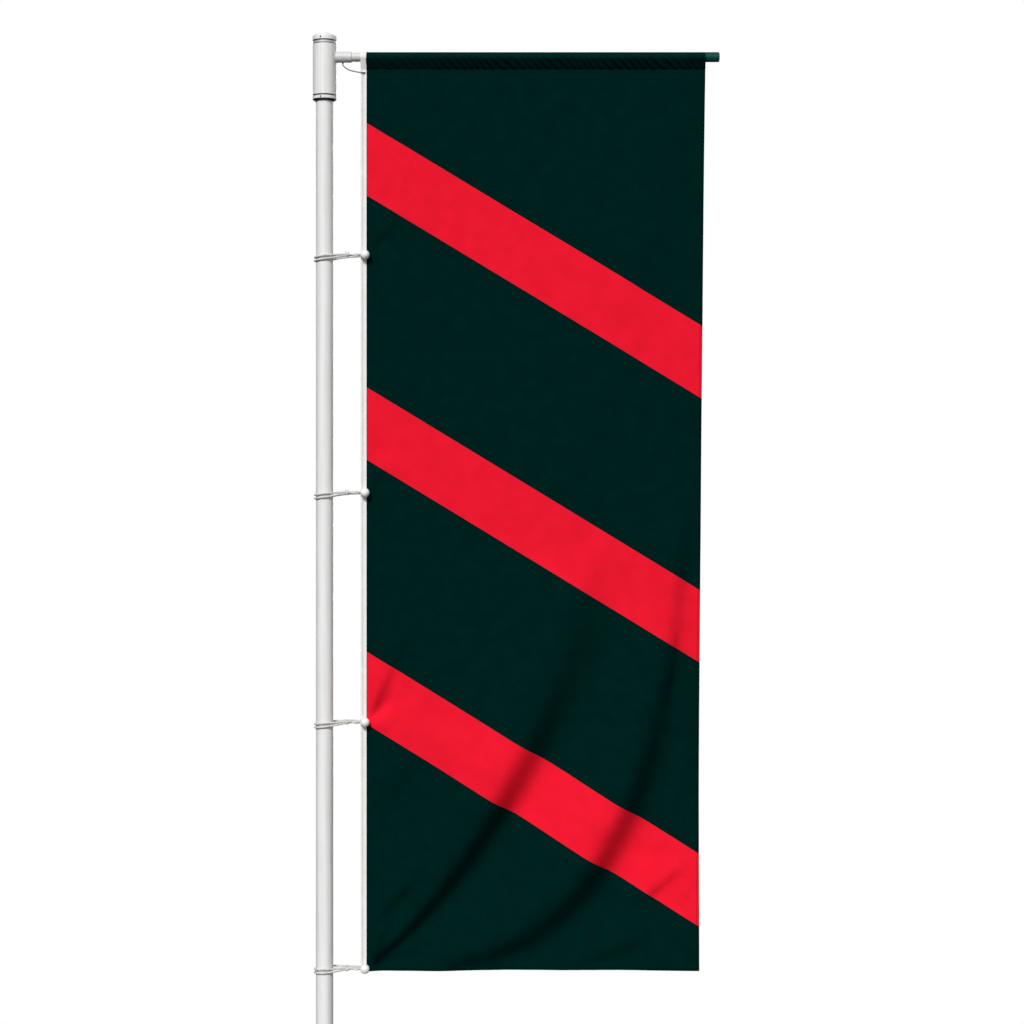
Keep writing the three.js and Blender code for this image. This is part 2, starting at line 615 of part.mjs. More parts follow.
// ---- the stay: a short cord from the socket to the tape, that keeps the banner from sliding off ----
// It hangs from the ferrule, sags across to the tape's rope, passes over it and ends in the eyelet.
function makeStay(group) {
  const over = -(TAPE_TUBE_R + FIT + STAY_RADIUS + 0.5);
  const start = [STAY_X, 0, -SOCKET_R - FERRULE_DROP - FIT];
  const top = [TAPE_TUBE_X, over, ARM_DROP_TO_STAY];
  const sag = [
    [0.005, 0.115], // shares of the way across and of the way down, up to the tape's rope
    [0.048, 0.286],
    [0.132, 0.462],
    [0.251, 0.624],
    [0.395, 0.756],
    [0.563, 0.858],
    [0.743, 0.936],
    [0.898, 0.985],
  ];
  const lerp = THREE.MathUtils.lerp;
  const route = [
    start,
    ...sag.map(([across, down]) => [
      lerp(start[0], top[0], across),
      lerp(start[1], top[1], across ** 0.7),
      lerp(start[2], top[2], down),
    ]),
    top,
    [EYELET_X - 5, over + 1.6, top[2]],
    [EYELET_X - 0.8, over + 4.6, top[2]],
    [EYELET_X, -(TAPE_THICKNESS / 2 + EYELET_LIP + FIT + SEAT), top[2]],
  ];
  const curve = new THREE.CatmullRomCurve3(route.map((p) => new THREE.Vector3(...p)));
  const cord = alongCurve(curve, STAY_RADIUS, 8, 26);
  addPiece(group, "flag_stay_cord", cord, whiteCord()).position.z = ARM_Z;
}

// ---- a ball tie: a doubled elastic cord from the eyelet, round the mast and back to a ball ----
// Where a line from an outside point touches the ring round the mast, as an angle in radians.
function touchAngle(x, y, side) {
  return Math.atan2(y, x) + side * Math.acos(RING_R / Math.hypot(x, y));
}

function ballShape(radius) {
  return new THREE.SphereGeometry(radius, 16, 10);
}

function makeTie(group, tie, index) {
  const z = tieHeight(tie);
  const slope = Math.tan(THREE.MathUtils.degToRad(tie.tilt));
  const drop = (x) => -slope * Math.max(0, KNOT_FROM_AXIS - x);
  const eyeletBack = [EYELET_X, TAPE_TUBE_R + STRAND_RADIUS];
  const knot = [KNOT_FROM_AXIS, -18];
  const start = touchAngle(...eyeletBack, 1);
  const end = touchAngle(...knot, -1) + 2 * Math.PI;
  const round = Array.from({ length: 9 }, (_, i) => {
    const angle = start + ((end - start) * i) / 8;
    return [RING_R * Math.cos(angle), RING_R * Math.sin(angle), STRAND_PITCH / 2];
  });
  const toEye = [...eyeletBack, STRAND_PITCH_AT_KNOT / 2];
  const halfWay = [(toEye[0] + round[0][0]) / 2, (toEye[1] + round[0][1]) / 2, STRAND_PITCH / 3];
  const strand = (side) => {
    const points = [toEye, halfWay, ...round, [...knot, STRAND_PITCH_AT_KNOT / 2]];
    const curve = new THREE.CatmullRomCurve3(
      points.map(([x, y, apart]) => new THREE.Vector3(x, y, side * apart + drop(x))),
    );
    return alongCurve(curve, STRAND_RADIUS, 6, 21);
  };
  const ballNeck = new THREE.Vector3(BALL_X - BALL_RADIUS * 0.6, BALL_Y + BALL_RADIUS * 0.1, 0);
  const neck = new THREE.LineCurve3(new THREE.Vector3(...knot, 0), ballNeck);
  const throughEyelet = rod(EYELET_HOLE - FIT, BALL_Y, eyeletBack[1])
    .rotateX(-Math.PI / 2)
    .translate(EYELET_X, 0, 0);
  const cord = join(strand(1), strand(-1), alongCurve(neck, STRAND_RADIUS * 1.6, 8, 1), throughEyelet);
  const ballRoom = ballShape(BALL_RADIUS + FIT).translate(BALL_X, BALL_Y, 0);
  const piece = addPiece(group, `tie_${index}_cord`, cut(cord, ballRoom), whiteCord());
  piece.position.z = z;
  const ball = addPiece(group, `tie_${index}_ball`, ballShape(BALL_RADIUS), whiteBall());
  ball.position.set(BALL_X, BALL_Y, z);
}

// ---- the whole object, one group for each body that moves as a unit ----
const mast = new THREE.Group();
makeFoot(mast);
makeMast(mast);

const rotor = new THREE.Group();
makeHead(rotor);
makeSocket(rotor);
makeBanner(rotor);
makeStay(rotor);
TIES.forEach((tie, i) => makeTie(rotor, tie, i + 1));

const arm = new THREE.Group();
makeArm(arm);

const bannerFlag = new THREE.Group();
bannerFlag.add(mast, rotor, arm);

export default bannerFlag;
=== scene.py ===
import math

import bmesh
import bpy
import numpy as np
from mathutils import Matrix, Vector


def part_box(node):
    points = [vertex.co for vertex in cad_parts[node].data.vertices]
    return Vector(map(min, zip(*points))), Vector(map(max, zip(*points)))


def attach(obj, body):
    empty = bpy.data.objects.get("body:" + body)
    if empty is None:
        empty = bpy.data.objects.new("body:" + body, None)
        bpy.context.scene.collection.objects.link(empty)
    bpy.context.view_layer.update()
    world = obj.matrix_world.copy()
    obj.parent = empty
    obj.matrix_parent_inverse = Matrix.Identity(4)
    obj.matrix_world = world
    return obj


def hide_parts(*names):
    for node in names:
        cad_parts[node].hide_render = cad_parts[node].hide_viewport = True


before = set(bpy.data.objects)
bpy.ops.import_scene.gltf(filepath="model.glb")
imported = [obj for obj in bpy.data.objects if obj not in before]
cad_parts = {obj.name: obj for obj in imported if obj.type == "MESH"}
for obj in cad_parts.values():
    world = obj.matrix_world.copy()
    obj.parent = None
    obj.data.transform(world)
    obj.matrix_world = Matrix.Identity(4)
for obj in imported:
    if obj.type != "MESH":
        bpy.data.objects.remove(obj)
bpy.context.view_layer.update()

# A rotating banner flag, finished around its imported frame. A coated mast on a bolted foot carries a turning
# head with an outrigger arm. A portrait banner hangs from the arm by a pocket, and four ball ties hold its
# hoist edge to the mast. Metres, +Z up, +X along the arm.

# ---- places and sizes, from the frame ----
MM = 0.001


def top_of(node_name):
    """The far corner of a CAD node's box."""
    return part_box(node_name)[1]


def middle_of(node_name):
    """The middle of a CAD node's box, as x, y and z."""
    return [(low + high) / 2 for low, high in zip(*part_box(node_name))]


sleeve_lo, sleeve_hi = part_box("rotor_sleeve")
arm_lo, arm_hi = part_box("arm_tube")
tip_lo, tip_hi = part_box("arm_tip_cap")
panel_lo, panel_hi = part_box("flag_panel")
pocket_lo, pocket_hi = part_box("flag_pocket")
tape_lo, tape_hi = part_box("hoist_tape")
stay_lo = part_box("flag_stay_cord")[0]

PLATE_TOP = top_of("base_plate").z
SOCKET_R = top_of("base_socket").x
POLE_R = top_of("pole_tube").x
SLEEVE_R = sleeve_hi.x
ARM_Z = (arm_lo.z + arm_hi.z) / 2
ARM_R = (arm_hi.z - arm_lo.z) / 2
POCKET_Z = pocket_hi.z - pocket_hi.y  # the middle of the pocket's round
SEAM_Z = pocket_lo.z
HEM_Z = panel_lo.z
HOIST_X = tape_lo.x
CLOTH_X = panel_lo.x
FLY_X = pocket_hi.x
FLAG_WIDTH = FLY_X - HOIST_X
PANEL_DROP = SEAM_Z - HEM_Z
MAST_WALL = 2.5 * MM
EYELET_X = middle_of("hoist_eyelet_1")[0]
TIES = range(1, 5)
FIT = 0.3 * MM  # the clearance round what passes through a hole
FINE_EDGE = 0.5 * MM
BALL_R = (top_of("tie_1_ball").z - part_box("tie_1_ball")[0].z) / 2


def linked(name, data):
    """A new object with this data, in the scene."""
    made = bpy.data.objects.new(name, data)
    bpy.context.scene.collection.objects.link(made)
    return made


# ---- camera ----
CAMERA_DISTANCE = 9.5
VIEW_WIDTH = 4.456  # what the picture spans at the flag
CAMERA_X = 0.8155
CAMERA_ABOVE_HEM = 1.999
SENSOR = 36.0


def make_camera():
    data = bpy.data.cameras.new("camera")
    data.sensor_width = SENSOR
    data.lens = SENSOR * CAMERA_DISTANCE / VIEW_WIDTH
    data.clip_end = 200
    camera = linked("camera", data)
    camera.location = (CAMERA_X, -CAMERA_DISTANCE, HEM_Z + CAMERA_ABOVE_HEM)
    camera.rotation_euler = (math.pi / 2, 0, 0)
    bpy.context.scene.camera = camera


class Paint:
    """Shader nodes in one tree. Its noise lies over the coordinates called where."""

    def __init__(self, tree):
        self.tree = tree

    def node(self, kind, inputs=None, output=0, **settings):
        """Adds a node. An input that is a socket is linked, and any other is set."""
        made = self.tree.nodes.new("ShaderNode" + kind)
        for key, value in settings.items():
            setattr(made, key, value)
        for key, value in (inputs or {}).items():
            if isinstance(value, bpy.types.NodeSocket):
                self.tree.links.new(value, made.inputs[key])
            else:
                made.inputs[key].default_value = value
        return made.outputs[output]

    def maths(self, operation, *values):
        return self.node("Math", dict(enumerate(values)), operation=operation)

    def times(self, first, second):
        return self.maths("MULTIPLY", first, second)

    def off(self, value, line):
        """How far a value is from a line."""
        return self.maths("ABSOLUTE", self.maths("SUBTRACT", value, line))

    def either(self, found, more):
        return more if found is None else self.maths("MAXIMUM", found, more)

    def noise(self, scale, detail=2.0, stretch=None):
        """Noise from 0 to 1 at so many waves a metre, times the stretch along each axis."""
        where = self.where
        if stretch:
            where = self.node("Mapping", {"Vector": where, "Scale": stretch})
        return self.node("TexNoise", {"Vector": where, "Scale": scale, "Detail": detail})

    def graded(self, value, low, high, from_low=0.35, from_high=0.65):
        return self.node("MapRange", {"Value": value, 1: from_low, 2: from_high, 3: low, 4: high})

    def patchy(self, scale, detail, low=0, high=1, from_low=0.35, from_high=0.65, stretch=None):
        """Noise spread from low to high."""
        return self.graded(self.noise(scale, detail, stretch), low, high, from_low, from_high)

    def blended(self, share, first, second):
        """A colour between two, by share. A colour is a socket or three numbers."""
        whole = [c if isinstance(c, bpy.types.NodeSocket) else (*c, 1) for c in (first, second)]
        return self.node("Mix", {0: share, 6: whole[0], 7: whole[1]}, output=2, data_type="RGBA")

    def laid_over(self, share, amount, under, colour=(0, 0, 0)):
        """A colour laid over another, as far as a share of an amount."""
        return self.blended(self.times(share, amount), under, colour)

    def raised(self, height, distance, strength, under=None):
        inputs = {"Height": height, "Distance": distance, "Strength": strength}
        if under:
            inputs["Normal"] = under
        return self.node("Bump", inputs)


class Finish(Paint):
    """A Principled material in object coordinates. The slot argument is not used."""

    def __init__(self, name, slot=None, **plain):
        self.made = bpy.data.materials.new(name)
        self.made.use_nodes = True
        super().__init__(self.made.node_tree)
        self.shader = self.tree.nodes["Principled BSDF"]
        for key, value in plain.items():
            self.shader.inputs[key.replace("_", " ")].default_value = value
        self.where = self.node("TexCoord", output=3)

    def done(self, **links):
        """Joins sockets to the shader's inputs of these names."""
        for key, socket in links.items():
            self.tree.links.new(socket, self.shader.inputs[key.replace("_", " ")])
        return self.made


def coated_metal(name, colour=(0.80, 0.80, 0.795), dirt=(0.66, 0.66, 0.65), seam_x=None):
    """Powder-coated aluminium: a slight orange peel, faint runs of dirt and a little uneven gloss."""
    p = Finish(name, "coated_white", Specular_IOR_Level=0.4)
    streaks = p.patchy(60, 3, 0, 1, 0.45, 0.75, (1, 1, 0.03))
    share = p.times(streaks, p.maths("MULTIPLY_ADD", p.patchy(7, 4), 0.6, 0.4))
    base = p.blended(share, colour, dirt)
    skin = p.raised(p.noise(420, 1), 0.00008, 0.5)
    skin = p.raised(p.noise(2600, 0), 0.00001, 0.4, skin)
    if seam_x is not None:
        x = p.node("SeparateXYZ", {"Vector": p.where})
        line = p.graded(p.off(x, seam_x), 1, 0, 0.0002, 0.0008)
        base = p.laid_over(line, 0.35, base, (0.35, 0.35, 0.34))
    return p.done(Base_Color=base, Roughness=p.patchy(35, 3, 0.34, 0.46), Normal=skin)


def bare_metal(name, slot, colour, dull, roughness, metallic, lines):
    """Turned or drawn metal, with dull patches and level lines so many times finer upwards."""
    p = Finish(name, slot, Metallic=metallic)
    fine = p.noise(900, 2, (1, 1, lines))
    base = p.blended(p.patchy(45, 4, 0, 1, 0.45, 0.7), colour, dull)
    rough = p.graded(fine, roughness - 0.06, roughness + 0.1)
    return p.done(Base_Color=base, Roughness=rough, Normal=p.raised(fine, 0.00003, 0.5))


def galvanised_steel():
    """Hot-dip zinc: a patchwork of crystals a few millimetres across, each with its own grey and gloss."""
    p = Finish("galvanised_steel", "galvanised", Metallic=0.75)
    crystal = p.node("TexVoronoi", {"Vector": p.where, "Scale": 140, "Randomness": 1.0}, output=1)
    tone = p.node("SeparateXYZ", {"Vector": crystal})
    zinc = p.blended(tone, (0.34, 0.35, 0.36), (0.52, 0.53, 0.54))
    base = p.laid_over(p.patchy(25, 5, 0, 1, 0.45, 0.75), 0.5, zinc, (0.23, 0.23, 0.22))
    rough = p.graded(tone, 0.38, 0.58, 0, 1)
    return p.done(Base_Color=base, Roughness=rough, Normal=p.raised(p.noise(220, 4), 0.0002, 0.5))


def moulded_plastic(name, slot, colour, worn, roughness, coat=0.0, gloss=0.5):
    """Moulded plastic: a fine even grain, paler where it is scuffed."""
    p = Finish(name, slot, Coat_Weight=coat, Coat_Roughness=0.2, Specular_IOR_Level=gloss)
    base = p.laid_over(p.patchy(130, 5, 0, 1, 0.58, 0.72), 0.5, colour, worn)
    rough = p.patchy(60, 3, roughness - 0.05, roughness + 0.1)
    return p.done(Base_Color=base, Roughness=rough, Normal=p.raised(p.noise(1500, 1), 0.00004, 0.5))


def on_cloth(p):
    """Puts a finish's noise in the flat cloth, and gives its metres along, u, and up, v."""
    p.where = p.node("UVMap", uv_map="cut")
    u = p.node("SeparateXYZ", {0: p.where})
    return u, u.node.outputs[1]


def ribs(p, along, pitch):
    """Rounded ribs from 0 to 1 across one direction of the cloth."""
    return p.maths("MULTIPLY_ADD", p.maths("SINE", p.times(along, 2 * math.pi / pitch)), 0.5, 0.5)


def stitched(p, across, along, lines, stitch=0.0035, width=0.0005):
    """1 on the threads of straight stitch lines at these places across, and 0 off them."""
    thread = p.maths("LESS_THAN", p.maths("FRACT", p.maths("DIVIDE", along, stitch)), 0.72)
    found = None
    for line in lines:
        found = p.either(found, p.graded(p.off(across, line), 1, 0, width * 0.5, width))
    return p.times(found, thread)


POCKET_PAINTED_HIGHLIGHT = 1.3  # painted highlight: the pocket cloth is painted this many times paler, and only its top over the arm escapes the painted shade below
POCKET_SHADE = 0.50  # painted shade: below the arm, where the pocket is double, its walls are painted this much darker
# painted shade: the turned-in hems are painted this much darker
HEM_SHADE = 0.15
BAND_MIDDLES = (3.10, 1.95, 0.80)  # above the hem, halfway across
BAND_DEPTH = 0.315
BAND_FALL = 0.6  # for each metre towards the fly
GREEN = (0.0002, 0.0164, 0.0141)
RED = (0.89, 0.0111, 0.0322)
WORN_RED = (0.83, 0.0099, 0.029)
STITCH_IN = 1.5 * MM  # from a hem's inner edge to its stitches


def banded(p, u, v, ground):
    """The slanting bands over the ground colour, a little uneven as ink is."""
    level = p.maths("MULTIPLY_ADD", p.maths("SUBTRACT", u, FLAG_WIDTH / 2), BAND_FALL, v)
    found = None
    for middle in BAND_MIDDLES:
        found = p.either(found, p.maths("LESS_THAN", p.off(level, middle), BAND_DEPTH / 2))
    return p.blended(found, ground, p.blended(p.patchy(11, 4), RED, WORN_RED))


def flag_cloth(name, printed):
    """Knitted flag polyester, ribbed both ways and dull: the printed panel, or the plain pocket."""
    p = Finish(name, "cloth", Specular_IOR_Level=0.0, Sheen_Weight=0.02, Sheen_Tint=(0.0, 0.6, 0.5, 1),
               Sheen_Roughness=0.4)
    u, v = on_cloth(p)
    # The plain pocket's green is painted paler: a painted highlight, which stays on the pocket's top over the
    # arm.
    green = [c * (1.0 if printed else POCKET_PAINTED_HIGHLIGHT) for c in GREEN]
    ground = p.blended(p.patchy(14, 4), green, [c * 0.86 for c in green])
    if printed:
        ground = banded(p, u, v, ground)
        fly_hem = stitched(p, u, v, [FLAG_WIDTH - HEM + STITCH_IN, FLAG_WIDTH - 2 * STITCH_IN])
        threads = p.either(fly_hem, stitched(p, v, u, [HEM - STITCH_IN, 2 * STITCH_IN]))
    else:
        # Painted shade: the pocket's walls below the arm are painted darker; its top over the arm is not.
        girth = teardrop(ARM_R, 0, np.array([0.5]))[2]
        shade = p.graded(p.off(v, girth / 2), 0, POCKET_SHADE, 0.030, 0.044)
        ground = p.blended(shade, ground, (0, 0, 0))
        threads = stitched(p, v, u, [0.0025, 0.006])
    knit = p.times(ribs(p, u, 0.0016), ribs(p, v, 0.0013))
    skin = p.raised(knit, 0.0002, 0.6)
    skin = p.raised(p.noise(260, 3), 0.0002, 0.25, skin)
    skin = p.raised(threads, 0.0004, 0.8, skin)
    base = p.laid_over(threads, 0.45, p.laid_over(knit, 0.32, ground))
    if printed:
        # Painted shade: the turned-in hems at the fly and along the bottom are painted darker.
        in_fly_hem = p.maths("GREATER_THAN", u, FLAG_WIDTH - HEM)
        turned_in = p.either(in_fly_hem, p.maths("LESS_THAN", v, HEM))
        # Painted shadow: a strip of cloth beside the tape is painted darker, as if in the tape's shadow.
        edge = CLOTH_X - HOIST_X
        painted_shadow_by_tape = p.graded(u, 0.8, 0, edge + 1 * MM, edge + 5 * MM)
        base = p.blended(painted_shadow_by_tape, p.laid_over(turned_in, HEM_SHADE, base), (0, 0, 0))
    return p.done(Base_Color=base, Roughness=p.patchy(30, 3, 0.78, 0.92), Normal=skin)


def webbing():
    """White woven tape: herringbone ribs, two lines of stitches, and slightly yellowed in patches."""
    p = Finish("white_webbing", "tape", Specular_IOR_Level=0.2, Sheen_Weight=0.1)
    u, v = on_cloth(p)
    twill = ribs(p, p.maths("ADD", v, p.maths("PINGPONG", u, 0.003)), 0.0012)
    threads = stitched(p, u, v, [TAPE_STITCH_U, TAPE_WIDTH - 2 * MM], 0.004, 0.0006)
    base = p.blended(p.patchy(18, 4), (0.86, 0.86, 0.85), (0.80, 0.795, 0.77))
    base = p.laid_over(twill, 0.12, base, (0.45, 0.45, 0.44))
    base = p.laid_over(threads, 0.3, base, (0.6, 0.6, 0.58))
    skin = p.raised(threads, 0.0004, 0.8, p.raised(twill, 0.00015, 0.5))
    return p.done(Base_Color=base, Roughness=p.patchy(40, 2, 0.75, 0.9), Normal=skin)


def braided_cord(name, fresh, aged):
    """Braided cord: fibrous, and dirtier in patches."""
    p = Finish(name, "cord", Specular_IOR_Level=0.25, Sheen_Weight=0.15)
    base = p.blended(p.patchy(90, 4), fresh, aged)
    fibres = p.raised(p.noise(3500, 2), 0.00012, 0.6)
    return p.done(Base_Color=base, Roughness=p.patchy(200, 2, 0.7, 0.9), Normal=fibres)


# ---- mesh building ----
ROUND = 96  # points round a turned piece


def turns_round(count):
    return [2 * math.pi * k / count for k in range(count)]


def run_along(path):
    """How far along a path each of its points lies."""
    steps = np.linalg.norm(np.diff(path, axis=0), axis=1)
    return np.concatenate([[0], np.cumsum(steps)])


def loft(rings, closed=False, capped=False):
    """Points and faces between rings that each have as many points."""
    count = len(rings[0])
    points = [tuple(p) for ring in rings for p in ring]
    faces = []
    for i in range(len(rings) if closed else len(rings) - 1):
        j = (i + 1) % len(rings)
        for k in range(count):
            m = (k + 1) % count
            faces.append((i * count + k, i * count + m, j * count + m, j * count + k))
    if capped:
        faces.append(tuple(range(count))[::-1])
        faces.append(tuple(range((len(rings) - 1) * count, len(rings) * count)))
    return points, faces


def gathered(parts):
    """Several lots of points and faces as one."""
    points, faces = [], []
    for more_points, more_faces in parts:
        start = len(points)
        points += more_points
        faces += [tuple(start + i for i in face) for face in more_faces]
    return points, faces


def placed(part, matrix):
    points, faces = part
    return [tuple(matrix @ Vector(p)) for p in points], faces


def settle(piece, body, *nodes):
    """Says which body a piece rides on and which CAD nodes it stands for, which it hides."""
    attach(piece, body)
    if nodes:
        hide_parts(*nodes)


def make(name, part, finish, body, *nodes, smooth=35.0, hard=True):
    """A welded piece with smooth shading up to an angle."""
    mesh = bpy.data.meshes.new(name)
    mesh.from_pydata(part[0], [], part[1])
    work = bmesh.new()
    work.from_mesh(mesh)
    bmesh.ops.remove_doubles(work, verts=work.verts, dist=1e-6)
    wires = [edge for edge in work.edges if not edge.link_faces]
    bmesh.ops.delete(work, geom=wires, context="EDGES")
    bmesh.ops.recalc_face_normals(work, faces=work.faces)
    work.to_mesh(mesh)
    work.free()
    mesh.shade_smooth()
    mesh.set_sharp_from_angle(angle=math.radians(smooth))
    mesh.materials.append(finish)
    piece = linked(name, mesh)
    if hard:
        piece.modifiers.new("even_shading", "WEIGHTED_NORMAL").keep_sharp = True
    settle(piece, body, *nodes)
    return piece


def rounded(corners, radius, steps=3):
    """The closed outline with its corners rounded. A corner on the axis stays."""
    outline = []
    spots = [Vector(c) for c in corners]
    for i, corner in enumerate(spots):
        back, on = spots[i - 1] - corner, spots[(i + 1) % len(spots)] - corner
        if corner.x == 0:
            outline.append(corner)
            continue
        start = corner + back.normalized() * min(radius, 0.45 * back.length)
        end = corner + on.normalized() * min(radius, 0.45 * on.length)
        for k in range(steps + 1):
            t = k / steps
            outline.append(start.lerp(corner, t).lerp(corner.lerp(end, t), t))
    return outline


def turned(outline, count=ROUND):
    """A solid of revolution about +Z from (radius, height) points."""
    rings = [[(r * math.cos(a), r * math.sin(a), z) for a in turns_round(count)] for r, z in outline]
    return loft(rings, closed=True)


def ring(inner, outer, low, high, edge, count=ROUND):
    """A plain ring about +Z with rounded edges, or with no inner radius a disc."""
    return turned(rounded([(inner, low), (outer, low), (outer, high), (inner, high)], edge), count)


def ring_like(node_name, inner, edge):
    """A plain ring as wide and tall as a CAD node."""
    lo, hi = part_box(node_name)
    return ring(inner, hi.x, lo.z, hi.z, edge)


def quarter(width, height, steps, r=0.0, z=0.0):
    """A quarter of an ellipse from its side to its top, as points of an outline."""
    turns = [math.pi / 2 * k / steps for k in range(steps)]
    points = [Vector((r + width * math.cos(a), z + height * math.sin(a))) for a in turns]
    return points + [Vector((r, z + height))]


def along_x(z, x=0.0):
    """Lays a turned piece along +X, at a height."""
    return Matrix.Translation((x, 0, z)) @ Matrix.Rotation(math.pi / 2, 4, "Y")


def smooth_path(points, step):
    """A smooth curve through the points, sampled about every step."""
    p = np.array(points, float)
    p = np.vstack([2 * p[0] - p[1], p, 2 * p[-1] - p[-2]])
    out = []
    for a, b, c, d in zip(p[:-3], p[1:-2], p[2:-1], p[3:]):
        count = max(1, round(float(np.linalg.norm(c - b)) / step))
        for t in np.arange(count) / count:
            out.append(0.5 * (2 * b + (c - a) * t + (2 * a - 5 * b + 4 * c - d) * t**2
                              + (3 * b - a - 3 * c + d) * t**3))
    out.append(p[-2])
    return np.array(out)


def frames_along(path):
    """Two directions across the path at each point, that don't twist on the way."""
    ahead = np.gradient(path, axis=0)
    ahead /= np.linalg.norm(ahead, axis=1)[:, None]
    side = np.cross(ahead[0], (0, 0, 1) if abs(ahead[0][2]) < 0.9 else (1, 0, 0))
    sides = []
    for direction in ahead:
        side = side - direction * side.dot(direction)
        side /= np.linalg.norm(side)
        sides.append(side.copy())
    sides = np.array(sides)
    return sides, np.cross(ahead, sides)


def cord_tube(path, radius, count=20, braid=0.05, braid_pitch=0.009, lay=0.0, lay_pitch=0.012):
    """A tube along a path. braid raises crossing ridges, and lay the strands of a twisted rope.
    The radius and the lay are each one number, or one for every point of the path."""
    sides, ups = frames_along(path)
    run = run_along(path)
    turns = np.arange(count) * 2 * math.pi / count
    size = radius * np.ones(len(path))
    depth = lay * np.ones(len(path))
    rings = []
    for i, spot in enumerate(path):
        twist = 2 * math.pi * run[i] / braid_pitch
        weave = np.sin(5 * turns + twist) * np.sin(5 * turns - twist)
        strands = np.abs(np.cos(1.5 * (turns - 2 * math.pi * run[i] / lay_pitch))) - 0.6
        r = size[i] * (1 + braid * weave + depth[i] * strands)
        rings.append([tuple(spot + r[k] * (math.cos(a) * sides[i] + math.sin(a) * ups[i]))
                      for k, a in enumerate(turns)])
    return loft(rings, capped=True)


# ---- the stay: a short cord from under the arm's socket to the tape ----
STAY_R = 2.75 * MM
STAY_SAG = [  # shares of the way across and of the way down, as its CAD solid hangs
    (0.005, 0.115), (0.048, 0.286), (0.132, 0.462), (0.251, 0.624),
    (0.395, 0.756), (0.563, 0.858), (0.743, 0.936), (0.898, 0.985),
]


def stay_route():
    """From the socket's ferrule down to the tape, over it, and into its top eyelet."""
    over = stay_lo.y + STAY_R
    start = (middle_of("stay_ferrule")[0], 0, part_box("stay_ferrule")[0].z - FIT)
    low = stay_lo.z + STAY_R
    top = (middle_of("hoist_rope")[0], over, low)
    route = [start]
    for across, down in STAY_SAG:
        route.append((start[0] + (top[0] - start[0]) * across, over * across**0.7,
                      start[2] + (low - start[2]) * down))
    route.append(top)
    for back, out in ((5, 1.6), (0.8, 4.6), (0, over / -MM - 2.7)):
        route.append((EYELET_X - back * MM, over + out * MM, low))
    return route


def make_stay(finish):
    route = smooth_path(stay_route(), 2 * MM)
    curve = bpy.data.curves.new("flag_stay", "CURVE")
    curve.dimensions = "3D"
    curve.bevel_depth = STAY_R
    curve.bevel_resolution = 5
    curve.use_fill_caps = True
    spline = curve.splines.new("POLY")
    spline.points.add(len(route) - 1)
    for point, spot in zip(spline.points, route):
        point.co = (*spot, 1)
    spline.use_smooth = True
    curve.materials.append(finish)
    stay = linked("flag_stay", curve)
    settle(stay, "rotor", "flag_stay_cord")


# ---- the foot ----
STUD_R = 8 * MM
THREAD_PITCH = 2 * MM
THREAD_DEPTH = 1 * MM
WELD = 4 * MM
WELD_RIPPLE = 5 * MM
SCREW_HEAD = 7 * MM
SHANK_R = 5 * MM


def stud():
    """A threaded stud: plain below the plate, ridged above it."""
    lo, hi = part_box("anchor_stud_1")
    outline = [(0, lo.z), (STUD_R - THREAD_DEPTH, lo.z), (STUD_R, lo.z + 2 * MM)]
    height = PLATE_TOP
    while height + THREAD_PITCH < hi.z - 1 * MM:
        outline.append((STUD_R, height + 0.1 * THREAD_PITCH))
        outline.append((STUD_R - THREAD_DEPTH, height + 0.5 * THREAD_PITCH))
        outline.append((STUD_R, height + 0.9 * THREAD_PITCH))
        height += THREAD_PITCH
    outline += [(STUD_R - THREAD_DEPTH, hi.z), (0, hi.z)]
    return turned(outline, 32)


def hex_nut(bottom, top, flats, bore):
    """A hexagon with its corners chamfered at both faces, with a hole or, with no bore, a solid head."""
    chamfer_from = flats / 2 * 0.96
    turns = turns_round(72)
    reach = [flats / 2 / math.cos((a % (math.pi / 3)) - math.pi / 6) for a in turns]

    def circle(r, z):
        return [(r * math.cos(a), r * math.sin(a), z) for a in turns]

    def edge(z, down):
        return [(r * math.cos(a), r * math.sin(a), z + down * 0.55 * (r - chamfer_from))
                for r, a in zip(reach, turns)]

    rings = [circle(chamfer_from, bottom), edge(bottom, 1), edge(top, -1), circle(chamfer_from, top)]
    if bore:
        bevel = 0.8 * MM
        rings += [circle(bore + bevel, top), circle(bore, top - bevel),
                  circle(bore, bottom + bevel), circle(bore + bevel, bottom)]
        return loft(rings, closed=True)
    return loft(rings, capped=True)


def weld_bead(path):
    """A rippled bead of weld along a path."""
    points = smooth_path(path, 1.2 * MM)
    run = run_along(points)
    ends = np.clip(np.minimum(run, run[-1] - run) / WELD, 0.15, 1) ** 0.5
    ripple = 0.86 + 0.14 * np.abs(np.sin(math.pi * run / WELD_RIPPLE))
    return cord_tube(points, WELD * ends * ripple, 10, braid=0)


def foot_welds(gusset_lo, gusset_hi):
    """Beads round the tube's foot and down both sides of each gusset."""
    floor = PLATE_TOP
    half = (gusset_hi.y - gusset_lo.y) / 2
    inset = 0.5 * WELD
    beads = []
    for side_no in range(4):
        turn = Matrix.Rotation(side_no * math.pi / 2, 4, "Z")
        r = SOCKET_R + inset * 0.5
        open_from = math.asin((half + WELD) / r)
        arc = [(r * math.cos(a), r * math.sin(a), floor + inset)
               for a in np.linspace(open_from, math.pi / 2 - open_from, 12)]
        beads.append(placed(weld_bead(arc), turn))
        for side in (-1, 1):
            y = side * (half + inset * 0.5)
            upright = [(r, y, floor + WELD), (r, y, (floor + gusset_hi.z) / 2),
                       (r, y, gusset_hi.z - 2 * WELD)]
            flat = [(r + WELD, y, floor + inset), ((r + gusset_hi.x) / 2, y, floor + inset),
                    (gusset_hi.x - WELD, y, floor + inset)]
            beads += [placed(weld_bead(upright), turn), placed(weld_bead(flat), turn)]
    return gathered(beads)


